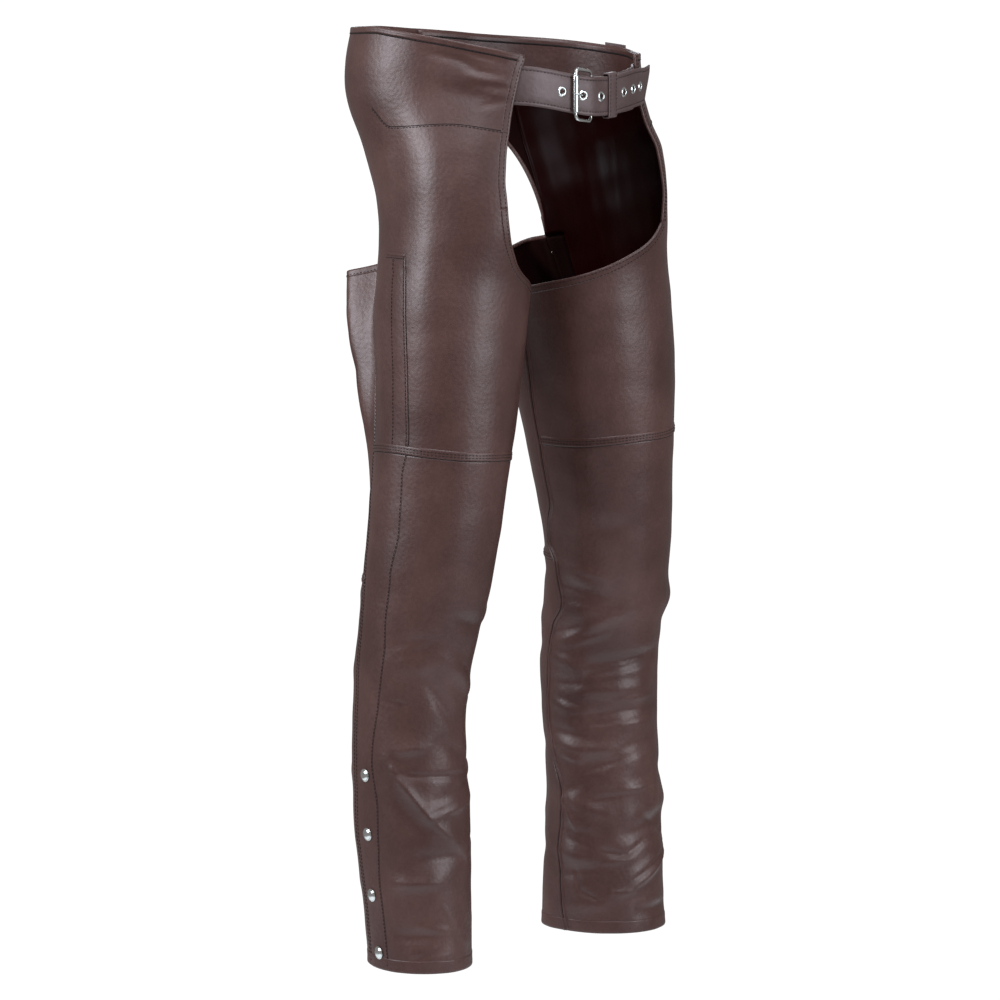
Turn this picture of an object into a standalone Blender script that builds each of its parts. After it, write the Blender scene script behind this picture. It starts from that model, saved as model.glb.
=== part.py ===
"""Leather chaps worn over trousers: two open-hipped legs held by a buckled waist strap.

Metres, +Z up. The wearer faces -Y with the right leg at -X, and the origin is at
the middle of the waist, level with the strap's upper edge at the back.
Every leather piece is a thin wall on one drawn surface for each leg.
Angles go round a leg in degrees from its front towards its outer side.
"""
import math

import bmesh
import bpy
import numpy as np

LEATHER = 0.0018          # thickness of the leg and hip leather
FACING = 0.0012           # thickness of the strip inside the waist
LINING = 0.0008           # thickness of the satin inside the hips
ZIP_TAPE = 0.0012         # thickness of the tape behind the side opening
LAYER_GAP = 0.0003        # air between one layer and the next
LINING_GAP = 0.0005       # air between the leather and the loose satin
SEAM_HALF_GAP = 0.0002    # how far each piece stops short of a seam line
STRAP_HEIGHT = 0.043      # waist strap
STRAP_WALL = 0.0026
SNAP_CAP = 0.0145         # diameter of a snap's cap
EYELET = 0.0112           # outer diameter of a strap eyelet
COARSEST_FOLD = 13.0      # least half width of a fold the wall can carry, in millimetres
FOLD_RADIUS = 66.0        # leg radius that turns a fold's angles into lengths, in millimetres
FLARE_DIRECTION = math.radians(135.0)    # where the flared back leather stands out to
LAST_BACK = 256.0         # angle of the inside leg seam seen from behind, at the top

SIDES = {"right": -1.0, "left": 1.0}

# height, leg axis out from the middle, leg axis along Y, then radii at the
# inner, front inner, front, front outer and outer sides, at the side opening,
# midway behind it, at the back and at the back inner side, then the angle of
# the side opening; lengths in millimetres, angle in degrees
SECTION_COLUMNS = ("z", "axis_x", "axis_y", "inner", "front_inner", "front",
                   "front_outer", "outer", "opening", "behind", "back",
                   "back_inner", "opening_angle")
RIGHT_SECTIONS = (
    (30, 85, 0, 150, 135, 127, 99, 97, 108, 117, 140, 232, 163),
    (-50, 88, -2, 150, 135, 128, 99, 100, 117, 123, 143, 232, 163),
    (-120, 97, -6, 140, 132, 131, 109, 83, 92, 117, 143, 176, 163),
    (-190, 106, -10, 106, 116, 129, 105, 73, 69, 88, 108, 118, 163),
    (-250, 114, -14, 100, 107, 110, 101, 75, 66, 87, 100, 105, 159),
    (-300, 119, -18, 92, 102, 105, 99, 77, 69, 83, 95, 97, 150),
    (-380, 125, -26, 82, 92, 96, 92, 75, 67, 77, 86, 82, 140),
    (-460, 131, -33, 75, 80, 85, 81, 74, 71, 78, 80, 77, 131),
    (-580, 145, -29, 68, 75, 75, 70, 67, 68, 72, 72, 67, 124),
    (-720, 155, -9, 66, 67, 67, 62, 59, 58, 63, 65, 66, 118),
    (-860, 154, -10, 64, 69, 69, 65, 59, 60, 63, 65, 64, 117),
    (-970, 152, -18, 61, 63, 67, 62, 56, 55, 59, 64, 62, 117),
    (-1080, 151, -22, 58, 60, 66, 61, 54, 53, 57, 62, 60, 117),
)
LEFT_SECTIONS = (
    (30, 85, 0, 145, 128, 118, 93, 99, 115, 123, 143, 232, 163),
    (-50, 88, -2, 145, 128, 119, 93, 98, 114, 122, 143, 232, 163),
    (-90, 93, -4, 143, 128, 123, 98, 93, 107, 121, 143, 206, 163),
    (-120, 97, -6, 140, 132, 130, 106, 87, 98, 119, 143, 176, 163),
    (-190, 106, -10, 106, 116, 127, 100.5, 77, 74, 90, 108, 118, 163),
    (-250, 114, -14, 100, 107, 110, 98, 77, 70, 88, 100, 105, 159),
    (-300, 119, -18, 92, 102, 105, 97.5, 77, 70, 83, 96, 98, 150),
    (-380, 125, -26, 82, 92, 96, 92, 75, 67, 79, 91, 91, 140),
    (-460, 131, -33, 75, 79, 84, 82, 74, 72, 79, 84, 85, 131),
    (-580, 145, -29, 67, 71, 73, 73, 70, 69, 73, 73, 71, 124),
    (-720, 155, -9, 66, 64, 66, 67, 63, 62, 66, 69, 69, 118),
    (-860, 154, -10, 62, 63, 68, 70, 64, 62, 63, 63, 61, 117),
    (-970, 152, -18, 63, 62, 68, 70, 64, 60, 64, 70, 69, 117),
    (-1080, 151, -22, 62, 62, 69, 72, 64, 60, 67, 75, 72, 117),
)
SECTIONS = {"right": RIGHT_SECTIONS, "left": LEFT_SECTIONS}

# cut lines, as pairs of angle and height or of height and angle
FRONT_EDGE = {
    "right": ((30, 1), (-15, 1.5), (-25, 3.5), (-45, 6), (-80, 9), (-120, 11), (-144, 11.2), (-166, 9.8),
              (-175, 9)),
    "left": ((30, 5), (-30, 5), (-80, 7), (-120, 11.5), (-160, 12.5), (-200, 9)),
}
CROTCH_CUT = {
    "right": ((-104, -274), (-71, -270), (-41.5, -265), (-30, -259), (-17, -250), (-7, -238), (-1.5, -226),
              (3, -213), (5.5, -202), (7.8, -187), (9, -175)),
    "left": ((-104, -274), (-88, -273), (-71, -268), (-50, -260), (-32, -250), (-15, -236), (0, -219),
             (9, -200)),
}
FRONT_CORNER = {"right": -0.175, "left": -0.2}         # height where the front edge meets the crotch edge
WAIST_EDGE = {
    "right": ((1, -12), (8, -11), (25, -2.5), (50, 8), (79, 16), (97, 19.5), (135, 18), (180, 18),
              (214, 13.8)),
    "left": ((6, -13), (45, -12), (90, -7), (135, 1), (180, 7), (195, 10), (214, 13.8)),
}
BACK_CUT = {
    "right": ((163, -243), (163.8, -185), (165.5, -150), (169, -124), (175, -106), (184, -94), (197, -86),
              (214, -82)),
    "left": ((163, -223), (165.2, -184), (167.8, -150), (171.5, -125), (177, -107), (185.5, -94),
             (197, -86), (214, -82)),
}
BACK_TOP = {
    "right": ((163, -243), (170, -250), (180, -256), (195, -263), (220, -271), (256, -274)),
    "left": ((163, -223), (170, -226), (180, -231), (195, -241), (220, -257), (256, -274)),
}

# height and angle of the inside leg seam, which wanders with the folds
INSEAM = {
    "right": ((-274, -104), (-360, -102), (-450, -105), (-520, -104), (-560, -109), (-600, -101),
              (-650, -106), (-700, -99), (-760, -106), (-820, -101), (-880, -94), (-950, -99), (-1022, -95)),
    "left": ((-274, -104), (-330, -101), (-428, -106), (-520, -105), (-546, -112), (-570, -115), (-594, -104),
             (-618, -100), (-642, -93), (-668, -104), (-702, -107), (-780, -111), (-822, -104), (-864, -91),
             (-926, -98), (-1000, -94), (-1022, -90)),
}

# height, how far the back leather stands out behind the side opening
FLARE = {
    "right": ((-200, 38), (-250, 38), (-300, 34), (-350, 28), (-400, 19), (-440, 9), (-490, 0)),
    "left": ((-200, 30), (-250, 30), (-300, 26), (-350, 20), (-400, 13), (-440, 6), (-490, 0)),
}

# folds: angle and height of each end, rise out of the surface, half width;
# heights, rise and width in millimetres
FOLD_COLUMNS = ("angle_a", "z_a", "angle_b", "z_b", "rise", "width")
FOLDS = {
    "right": (
        (66, -782, 25, -842, 3.0, 9), (-35, -830, 25, -842, 3.5, 8), (25, -842, -25, -890, 3.0, 8),
        (36, -892, -7, -892, -3.5, 9), (62, -920, 11, -914, 3.0, 11), (26, -690, -6, -742, -4.0, 8),
        (22, -664, -45, -716, 3.5, 10), (10, -624, -39, -642, -3.5, 8), (7, -950, -13, -990, 2.5, 6),
        (61, -980, 23, -978, -3.0, 8), (48, -1000, 15, -1002, 2.0, 8), (68, -648, 21, -658, -2.0, 12),
        (64, -674, 28, -678, 2.0, 12), (60, -768, 26, -764, 2.0, 12), (9, -766, -42, -792, -2.5, 9),
        (12, -828, -45, -810, -2.5, 8), (56, -826, 33, -864, -2.5, 9), (54, -4, 14, -24, -1.5, 9),
        (48, -44, 14, -60, -1.6, 9), (51, -24, 14, -42, 1.4, 10),
        (-98, -600, -52, -618, 2.0, 9), (-100, -640, -58, -634, -2.5, 8), (-96, -662, -60, -680, 2.4, 8),
        (-102, -706, -62, -700, -2.4, 9), (-98, -744, -60, -760, 2.2, 9), (-100, -796, -58, -788, -2.4, 8),
        (-98, -850, -54, -862, 2.4, 9), (-96, -905, -50, -896, -2.2, 9), (-99, -962, -56, -970, 2.2, 9),
        (150, -560, 214, -584, -2.5, 10), (146, -604, 222, -622, 3.0, 10), (152, -650, 226, -640, -3.0, 9),
        (142, -690, 206, -712, 2.6, 11), (160, -752, 232, -742, -2.6, 10), (146, -806, 214, -826, 2.6, 10),
        (158, -870, 228, -858, -2.4, 10), (144, -930, 212, -944, 2.4, 11), (150, -350, 186, -384, -2.0, 12),
        (196, -420, 236, -404, 2.0, 12),
    ),
    "left": (
        (-91, -684, -19, -644, 3.5, 8), (-66, -742, 6, -738, 3.5, 9), (-33, -776, 13, -778, 3.0, 9),
        (-97, -806, -11, -814, 3.0, 9), (-33, -852, 9, -854, 3.0, 9), (-55, -710, 36, -698, -5.0, 8),
        (-72, -772, 24, -762, -3.0, 7), (-73, -832, 15, -798, -3.0, 8), (-62, -874, 17, -838, -2.5, 9),
        (-35, -974, 41, -928, 4.0, 9), (-16, -908, 40, -890, -6.0, 11), (-8, -998, 38, -998, -4.0, 7),
        (-97, -596, -50, -608, 2.0, 8), (-96, -618, -47, -628, -2.5, 7), (-88, -646, -50, -654, 2.0, 8),
        (-104, -674, -59, -666, -2.5, 8), (-102, -702, -65, -714, 2.5, 8), (-101, -732, -61, -732, -2.5, 8),
        (-105, -756, -66, -766, 2.0, 8), (-102, -788, -56, -798, -2.5, 8), (-84, -860, -58, -842, -2.0, 8),
        (-85, -868, -40, -884, 2.5, 8), (-95, -902, -52, -912, -2.5, 8), (-99, -928, -59, -938, 2.5, 9),
        (-97, -956, -45, -946, -2.5, 9), (-92, -994, -39, -984, 2.0, 10), (-62, -550, 1, -540, -1.5, 12),
        (46, -42, 14, -58, -1.4, 9), (34, -636, 70, -640, 6.0, 20),
        (40, -664, 66, -662, -3.0, 9), (26, -872, 70, -884, 5.0, 20), (40, -838, 66, -842, -3.5, 9),
        (146, -566, 210, -588, 2.5, 10), (152, -618, 226, -604, -3.0, 9), (148, -640, 220, -662, 3.0, 10),
        (156, -706, 230, -694, -2.6, 10), (144, -748, 208, -770, 2.6, 11), (152, -822, 226, -810, -2.6, 10),
        (146, -872, 216, -890, 2.4, 10), (156, -944, 226, -932, -2.4, 10), (60, -700, 112, -720, 2.2, 10),
        (64, -760, 108, -752, -2.2, 10), (58, -850, 110, -868, 2.2, 10), (154, -360, 190, -392, -2.0, 12),
        (198, -410, 238, -398, 2.0, 12),
    ),
}


def smooth_step(low, high, value):
    """Ease from nought at low to one at high."""
    t = np.clip((value - low) / (high - low), 0.0, 1.0)
    return t * t * (3.0 - 2.0 * t)


def hermite(t, step, first, last, slope_first, slope_last):
    """Cubic between two values with the given slopes."""
    t2 = t * t
    t3 = t2 * t
    return ((2 * t3 - 3 * t2 + 1) * first + (t3 - 2 * t2 + t) * step * slope_first
            + (-2 * t3 + 3 * t2) * last + (t3 - t2) * step * slope_last)


def along(pairs, value):
    """Value of a short table of pairs, with a soft curve through its points."""
    table = sorted(pairs)
    xs = np.array([row[0] for row in table], float)
    ys = np.array([row[1] for row in table], float)
    rise = np.diff(ys) / np.diff(xs)
    slope = np.zeros(len(xs))
    slope[0] = rise[0]
    slope[-1] = rise[-1]
    for k in range(1, len(xs) - 1):
        if rise[k - 1] * rise[k] > 0:
            slope[k] = 2 * rise[k - 1] * rise[k] / (rise[k - 1] + rise[k])
    x = np.clip(np.asarray(value, float), xs[0], xs[-1])
    k = np.clip(np.searchsorted(xs, x, side="right") - 1, 0, len(xs) - 2)
    step = xs[k + 1] - xs[k]
    return hermite((x - xs[k]) / step, step, ys[k], ys[k + 1], slope[k], slope[k + 1])


def section_at(side, z):
    """Rows of the section table at the given heights, in metres and degrees."""
    table = np.array(SECTIONS[side], float)
    table[:, :12] /= 1000.0
    depth = -table[:, 0]
    value = table[:, 1:]
    slope = np.empty_like(value)
    slope[1:-1] = (value[2:] - value[:-2]) / (depth[2:] - depth[:-2])[:, None]
    slope[0] = (value[1] - value[0]) / (depth[1] - depth[0])
    slope[-1] = (value[-1] - value[-2]) / (depth[-1] - depth[-2])
    q = np.clip(-z, depth[0], depth[-1] - 1e-9)
    k = np.clip(np.searchsorted(depth, q, side="right") - 1, 0, len(depth) - 2)
    step = depth[k + 1] - depth[k]
    t = (q - depth[k]) / step
    return hermite(t[..., None], step[..., None], value[k], value[k + 1], slope[k], slope[k + 1])


def radius_at(section, theta):
    """Radius of a section at each angle, periodic over the turn."""
    columns = [section[..., k] for k in range(2, 11)]
    inner, front_inner, front, front_outer, outer, opening, behind, back, back_inner = columns
    turn = section[..., 11]
    zero = 0.0 * turn
    angle = np.stack([zero - 155, zero - 122, zero - 90, zero - 45, zero, zero + 45, zero + 88, turn,
                      (turn + 205) / 2, zero + 205, zero + 238, zero + 270, zero + 315], -1)
    value = np.stack([back, back_inner, inner, front_inner, front, front_outer, outer, opening,
                      behind, back, back_inner, inner, front_inner], -1)
    slope = np.zeros_like(value)
    slope[..., 1:-1] = (value[..., 2:] - value[..., :-2]) / (angle[..., 2:] - angle[..., :-2])
    result = np.zeros(theta.shape)
    for k in range(1, 11):
        low = angle[..., k]
        high = angle[..., k + 1]
        here = (theta >= low) & (theta < high)
        t = np.clip((theta - low) / (high - low), 0.0, 1.0)
        bend = hermite(t, high - low, value[..., k], value[..., k + 1], slope[..., k], slope[..., k + 1])
        result = np.where(here, bend, result)
    return result


def fold_rise(folds, theta, z):
    """Sum of the fold table's soft ridges and troughs, in metres."""
    total = np.zeros(theta.shape)
    scale = math.radians(FOLD_RADIUS)
    px = theta * scale
    pz = z * 1000.0
    for angle_a, z_a, angle_b, z_b, rise, half_width in folds:
        width = max(half_width, COARSEST_FOLD)
        for turn in (-360.0, 0.0, 360.0):
            ax = (angle_a + turn) * scale
            bx = (angle_b + turn) * scale
            dx = bx - ax
            dz = z_b - z_a
            t = np.clip(((px - ax) * dx + (pz - z_a) * dz) / (dx * dx + dz * dz), 0.0, 1.0)
            gap = np.hypot(px - ax - t * dx, pz - z_a - t * dz)
            taper = 0.45 + 0.55 * np.sin(math.pi * t)
            total = total + taper * rise * np.exp(-(gap / width) ** 2)
    return total / 1000.0


def surface(side, theta, z):
    """Points of a leg's outer surface."""
    theta, z = np.broadcast_arrays(np.asarray(theta, float), np.asarray(z, float))
    section = section_at(side, z)
    radius = radius_at(section, theta) + fold_rise(FOLDS[side], theta, z)
    turn = np.radians(theta)
    past = (theta - section[..., 11]) / (LAST_BACK - section[..., 11])
    stand = along(FLARE[side], z * 1000.0) / 1000.0
    stand = stand * np.where(past > 0, smooth_step(0.0, 0.16, past) * (1 - smooth_step(0.2, 0.85, past)), 0.0)
    stand = np.where(z > -0.2, 0.0, stand)
    x = section[..., 0] + radius * np.sin(turn) + stand * math.sin(FLARE_DIRECTION)
    y = section[..., 1] - radius * np.cos(turn) - stand * math.cos(FLARE_DIRECTION)
    return np.stack([SIDES[side] * x, y, z], -1)


def opening_angle(side, z):
    """Angle of the side opening at a height."""
    return section_at(side, np.asarray(z, float))[..., 11]


def centre_back_angle(side, z):
    """Angle at which a hip reaches the middle of the back."""
    low = 200.0
    high = 228.0
    for _ in range(40):
        middle = (low + high) / 2
        if surface(side, middle, z)[0] * SIDES[side] > 0:
            low = middle
        else:
            high = middle
    return low


HIP_ANGLES = (9, 15, 25, 37, 50, 64, 79, 95, 111, 128, 146, 163)
HIP_BACK_ANGLES = (164.4, 167, 172, 180, 190, 202)
CROTCH_ANGLES = (-104, -92, -79, -65, -50, -34, -19, -7, 3)
BACK_TOP_ANGLES = (168, 175, 185, 197, 211, 226, 241, 256)
HIP_ROWS = (0.0, 0.1, 0.2, 0.31, 0.42, 0.53, 0.64, 0.74, 0.83, 0.92, 1.0)
FACING_ROWS = 3
BACK_FACING_ROWS = (3, 4, 5, 6, 7, 7, 8)         # rows under the facing in each column behind the opening
THIGH_ROWS = 10
LEG_ROWS = 25
BACK_SEAM_ROW = 16
LINING_ROWS = 8
HEM = {"right": -1.020, "left": -1.022}          # height of the hems
THIGH_SEAM = {"right": -0.450, "left": -0.446}    # height of the seam across the thigh


def thigh_seam_height(side, theta):
    """The seam across the thigh hangs lower on the inner side."""
    return THIGH_SEAM[side] + 0.0085 * math.cos(math.radians(theta - 100.0))


def leg_nodes(side):
    """Angles and heights of the grid for one hip and one leg."""
    cut = BACK_CUT[side]
    opening_top = cut[0][1] / 1000.0
    hip = {}
    hip_columns = list(HIP_ANGLES) + list(HIP_BACK_ANGLES) + [214.0]
    for i, base in enumerate(hip_columns):
        if base <= HIP_ANGLES[-1]:
            share = (base - 9.0) / (HIP_ANGLES[-1] - 9.0)
            low = FRONT_CORNER[side] + share * (opening_top - FRONT_CORNER[side])
        else:
            low = float(along(cut, base)) / 1000.0
        for j, part in enumerate(HIP_ROWS):
            high = float(along(WAIST_EDGE[side], base)) / 1000.0
            z = high + (low - high) * part
            theta = float(base)
            if i == len(hip_columns) - 1:
                theta = centre_back_angle(side, z)
            elif base < 60:
                lean = float(along(FRONT_EDGE[side], z * 1000.0)) - 9.0
                theta = base + lean * (1.0 - (base - 9.0) / 51.0)
            hip[i, j] = (theta, z)
    leg = {}
    front = list(CROTCH_ANGLES) + list(HIP_ANGLES)
    back = list(BACK_TOP_ANGLES)
    last_front = len(front) - 1
    span = HIP_ANGLES[-1] - front[0]
    for i in range(len(front) + len(back)):
        if i < len(CROTCH_ANGLES):
            base = float(front[i])
            high = float(along(CROTCH_CUT[side], base)) / 1000.0
        elif i <= last_front:
            base = float(front[i])
            share = (base - 9.0) / (HIP_ANGLES[-1] - 9.0)
            high = FRONT_CORNER[side] + share * (opening_top - FRONT_CORNER[side])
        else:
            base = float(back[i - last_front - 1])
            high = float(along(BACK_TOP[side], base)) / 1000.0
        for j in range(THIGH_ROWS + LEG_ROWS + 1):
            seam = thigh_seam_height(side, base if i <= last_front else LAST_BACK + (base - LAST_BACK) * 0.3)
            if j <= THIGH_ROWS:
                z = high + (seam - high) * j / THIGH_ROWS
                blend = j / THIGH_ROWS
            else:
                z = seam + (HEM[side] - seam) * (j - THIGH_ROWS) / LEG_ROWS
                blend = 1.0
            turn = float(opening_angle(side, z))
            inside = float(along(INSEAM[side], z * 1000.0))
            if i <= last_front:
                start = (base - front[0]) / span
                even = i / last_front
                theta = inside + (turn - inside) * (start + (even - start) * blend)
                if i == last_front:
                    theta = turn
                if j == 0:
                    theta = base
            else:
                start = (base - HIP_ANGLES[-1]) / (LAST_BACK - HIP_ANGLES[-1])
                even = (i - last_front) / len(back)
                theta = turn + (inside + 360.0 - turn) * (start + (even - start) * blend)
                if j == 0:
                    theta = base
            leg[i, j] = (theta, z)
    return hip, leg


class LegGrid:
    """One hip and leg as points, outward directions and quads with names."""

    def __init__(self, side):
        self.side = side
        hip, leg = leg_nodes(side)
        self.keys = {}
        self.params = []
        self.quads = []
        columns = len(CROTCH_ANGLES)
        last_front = columns + len(HIP_ANGLES) - 1
        last = last_front + len(BACK_TOP_ANGLES)
        hip_last = len(HIP_ANGLES) + len(HIP_BACK_ANGLES)
        rows = len(HIP_ROWS) - 1
        for i in range(hip_last):
            for j in range(rows):
                corners = [hip[i, j], hip[i + 1, j], hip[i + 1, j + 1], hip[i, j + 1]]
                self.add("hip", i + columns, j - rows, corners)
        for i in range(last):
            for j in range(THIGH_ROWS + LEG_ROWS):
                corners = [leg[i, j], leg[i + 1, j], leg[i + 1, j + 1], leg[i, j + 1]]
                self.add("front" if i < last_front else "back", i, j, corners)
        theta = np.array([p[0] for p in self.params])
        z = np.array([p[1] for p in self.params])
        self.points = surface(side, theta, z)
        self.normals = np.zeros_like(self.points)
        for _, _, _, ids in self.quads:
            a, b, c, d = (self.points[k] for k in ids)
            face = np.cross(d - b, c - a) * SIDES[side]
            length = np.linalg.norm(face)
            for k in ids:
                self.normals[k] += face / length
        self.normals[(np.abs(self.points[:, 0]) < 2e-5) & (z > -0.1), 0] = 0.0
        self.normals /= np.linalg.norm(self.normals, axis=1)[:, None]
        self.last_front = last_front
        self.columns = columns

    def add(self, block, i, j, corners):
        """Store a quad, sharing points that lie at the same place."""
        ids = []
        for theta, z in corners:
            key = (round(theta % 360.0, 3), round(z, 6))
            if key not in self.keys:
                self.keys[key] = len(self.params)
                self.params.append((theta, z))
            ids.append(self.keys[key])
        self.quads.append((block, i, j, ids))


def new_object(name, vertices, faces, material):
    """Closed mesh object with its own material in the part's collection."""
    mesh = bpy.data.meshes.new(name)
    mesh.from_pydata([tuple(v) for v in vertices], [], faces)
    mesh.validate()
    body = bmesh.new()
    body.from_mesh(mesh)
    bmesh.ops.recalc_face_normals(body, faces=body.faces)
    body.to_mesh(mesh)
    body.free()
    thing = bpy.data.objects.new(name, mesh)
    part_collection.objects.link(thing)
    mesh.materials.append(material_for(name, *material))
    mesh.shade_smooth()
    mesh.set_sharp_from_angle(angle=math.radians(50))
    return thing


def material_for(name, colour, roughness, metallic):
    """Principled material of one object."""
    material = bpy.data.materials.new(name + "_material")
    material.use_nodes = True
    shader = material.node_tree.nodes["Principled BSDF"]
    shader.inputs["Base Color"].default_value = (*colour, 1.0)
    shader.inputs["Roughness"].default_value = roughness
    shader.inputs["Metallic"].default_value = metallic
    return material


HIDE = ((0.085, 0.05, 0.045), 0.42, 0.0)
SATIN = ((0.012, 0.008, 0.008), 0.3, 0.0)
NICKEL = ((0.75, 0.75, 0.73), 0.22, 1.0)


def cloth(name, grid, chosen, lift, wall, material):
    """Thin closed wall over the chosen quads, lifted off the leg's surface."""
    quads = [ids for block, i, j, ids in grid.quads if chosen(block, i, j)]
    used = sorted({k for ids in quads for k in ids})
    edges = {}
    for ids in quads:
        for a, b in zip(ids, ids[1:] + ids[:1]):
            edges[a, b] = edges.get((a, b), 0) + 1
    rim = [(a, b) for a, b in edges if (b, a) not in edges]
    inward = {k: np.zeros(3) for edge in rim for k in edge}
    for ids in quads:
        centre = sum(grid.points[k] for k in ids) / 4.0
        for a, b in zip(ids, ids[1:] + ids[:1]):
            if (b, a) in edges:
                continue
            line = grid.points[b] - grid.points[a]
            line = line / np.linalg.norm(line)
            aside = centre - grid.points[a]
            aside = aside - line * float(np.dot(aside, line))
            aside = aside / np.linalg.norm(aside)
            inward[a] = inward[a] + aside
            inward[b] = inward[b] + aside
    place = {}
    outer = []
    inner = []
    for n, k in enumerate(used):
        point = grid.points[k].copy()
        if k in inward:
            push = inward[k]
            length = np.linalg.norm(push)
            if length > 0.2:
                push = push / length * SEAM_HALF_GAP * (2.0 / length if length < 1.95 else 1.0)
                point = point + push
        place[k] = n
        outer.append(point + grid.normals[k] * lift)
        inner.append(point + grid.normals[k] * (lift - wall))
    count = len(used)
    faces = []
    for ids in quads:
        ring = [place[k] for k in ids]
        across = np.linalg.norm(grid.points[ids[0]] - grid.points[ids[2]])
        other = np.linalg.norm(grid.points[ids[1]] - grid.points[ids[3]])
        if across <= other:
            halves = (ring[0], ring[1], ring[2]), (ring[0], ring[2], ring[3])
        else:
            halves = (ring[0], ring[1], ring[3]), (ring[1], ring[2], ring[3])
        for half in halves:
            faces.append(list(half))
            faces.append([count + k for k in reversed(half)])
    for a, b in rim:
        faces.append([place[b], place[a], count + place[a], count + place[b]])
    return new_object(name, outer + inner, faces, material)


def frame_at(normal):
    """Two directions across a normal."""
    normal = np.asarray(normal, float)
    across = np.cross([0.0, 0.0, 1.0], normal)
    across /= np.linalg.norm(across)
    return across, np.cross(normal, across)


def turned(name, centre, normal, profile, segments, material):
    """Solid turned about a normal; profile rows are radius and height."""
    across, rise = frame_at(normal)
    vertices = []
    faces = []
    rings = []
    for radius, height in profile:
        base = np.asarray(centre) + np.asarray(normal) * height
        if radius < 1e-9:
            rings.append([len(vertices)])
            vertices.append(base)
            continue
        ring = []
        for k in range(segments):
            angle = 2 * math.pi * k / segments
            ring.append(len(vertices))
            vertices.append(base + across * radius * math.cos(angle) + rise * radius * math.sin(angle))
        rings.append(ring)
    closed = profile[0][0] > 1e-9
    pairs = list(zip(rings, rings[1:] + rings[:1])) if closed else list(zip(rings, rings[1:]))
    for low, high in pairs:
        for k in range(segments):
            n = (k + 1) % segments
            if len(low) == 1:
                faces.append([low[0], high[k], high[n]])
            elif len(high) == 1:
                faces.append([low[k], low[n], high[0]])
            else:
                faces.append([low[k], low[n], high[n], high[k]])
    return new_object(name, vertices, faces, material)


def swept(name, path, radii, sides, material, closed=False):
    """Round bar along a path of points."""
    path = [np.asarray(p, float) for p in path]
    count = len(path)
    vertices = []
    previous = None
    for k, point in enumerate(path):
        before = path[k - 1] if closed or k else path[k]
        after = path[(k + 1) % count] if closed or k < count - 1 else path[k]
        tangent = after - before
        tangent /= np.linalg.norm(tangent)
        if previous is None:
            guess = np.array([0.0, 1.0, 0.0]) if abs(tangent[1]) < 0.8 else np.array([0.0, 0.0, 1.0])
        else:
            guess = previous
        across = guess - tangent * float(np.dot(guess, tangent))
        across /= np.linalg.norm(across)
        previous = across
        side = np.cross(tangent, across)
        for n in range(sides):
            angle = 2 * math.pi * n / sides
            vertices.append(point + radii[k] * (across * math.cos(angle) + side * math.sin(angle)))
    faces = []
    for k in range(count if closed else count - 1):
        m = (k + 1) % count
        for n in range(sides):
            w = (n + 1) % sides
            faces.append([k * sides + n, k * sides + w, m * sides + w, m * sides + n])
    if not closed:
        faces.append(list(range(sides)))
        faces.append([(count - 1) * sides + n for n in range(sides)])
    return new_object(name, vertices, faces, material)


# the waist strap's middle across the belly: position along X and Y and height,
# in millimetres; at both ends it follows the hips' own surface
BELLY_COLUMNS = ("x", "y", "z")
BELLY = ((-84, -132.6, -44), (-64, -138.8, -47), (-38, -144.5, -51.8), (-10, -147.0, -56),
         (20, -145.5, -56), (50, -140, -52.5), (80, -129.6, -48.5))
BELLY_ENDS = {
    "right": ((44, -41), (35, -41), (26, -41.2), (18, -41.6), (12, -42), (7, -42.5)),
    "left": ((7, -46), (12, -45.5), (18, -45), (26, -44), (35, -43), (44, -42.5), (54, -42), (64, -42)),
}


def belly_line():
    """Points of the strap's line from the right hip round to the left."""
    points = [surface("right", turn, z / 1000.0) for turn, z in BELLY_ENDS["right"]]
    points += [np.array(row, float) / 1000.0 for row in BELLY]
    points += [surface("left", turn, z / 1000.0) for turn, z in BELLY_ENDS["left"]]
    return np.array(points)


def belly_curve(station):
    """Point and outward direction at a distance along the belly line."""
    table = belly_points
    step = np.linalg.norm(np.diff(table[:, :2], axis=0), axis=1)
    length = np.concatenate([[0.0], np.cumsum(step)])
    value = np.zeros(3)
    ahead = np.zeros(3)
    for k in range(3):
        pairs = tuple(zip(length * 1000.0, table[:, k] * 1000.0))
        value[k] = cubic(pairs, station * 1000.0) / 1000.0
        ahead[k] = (cubic(pairs, station * 1000.0 + 0.5) - cubic(pairs, station * 1000.0 - 0.5)) / 1000.0
    tangent = ahead / np.linalg.norm(ahead)
    outward = np.cross(tangent, [0.0, 0.0, 1.0])
    outward /= np.linalg.norm(outward)
    return value, tangent, outward


def cubic(pairs, value):
    """Smooth curve through pairs, with free slopes at its points."""
    xs = np.array([row[0] for row in pairs], float)
    ys = np.array([row[1] for row in pairs], float)
    slope = np.empty_like(ys)
    slope[1:-1] = (ys[2:] - ys[:-2]) / (xs[2:] - xs[:-2])
    slope[0] = (ys[1] - ys[0]) / (xs[1] - xs[0])
    slope[-1] = (ys[-1] - ys[-2]) / (xs[-1] - xs[-2])
    x = min(max(value, xs[0]), xs[-1])
    k = int(np.clip(np.searchsorted(xs, x, side="right") - 1, 0, len(xs) - 2))
    step = xs[k + 1] - xs[k]
    return float(hermite((x - xs[k]) / step, step, ys[k], ys[k + 1], slope[k], slope[k + 1]))


def strap_point(station, out, rise=0.0):
    """Point beside the belly line: distance along, out from it and up."""
    value, _, outward = belly_curve(station)
    return value + outward * out + np.array([0.0, 0.0, rise])


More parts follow.
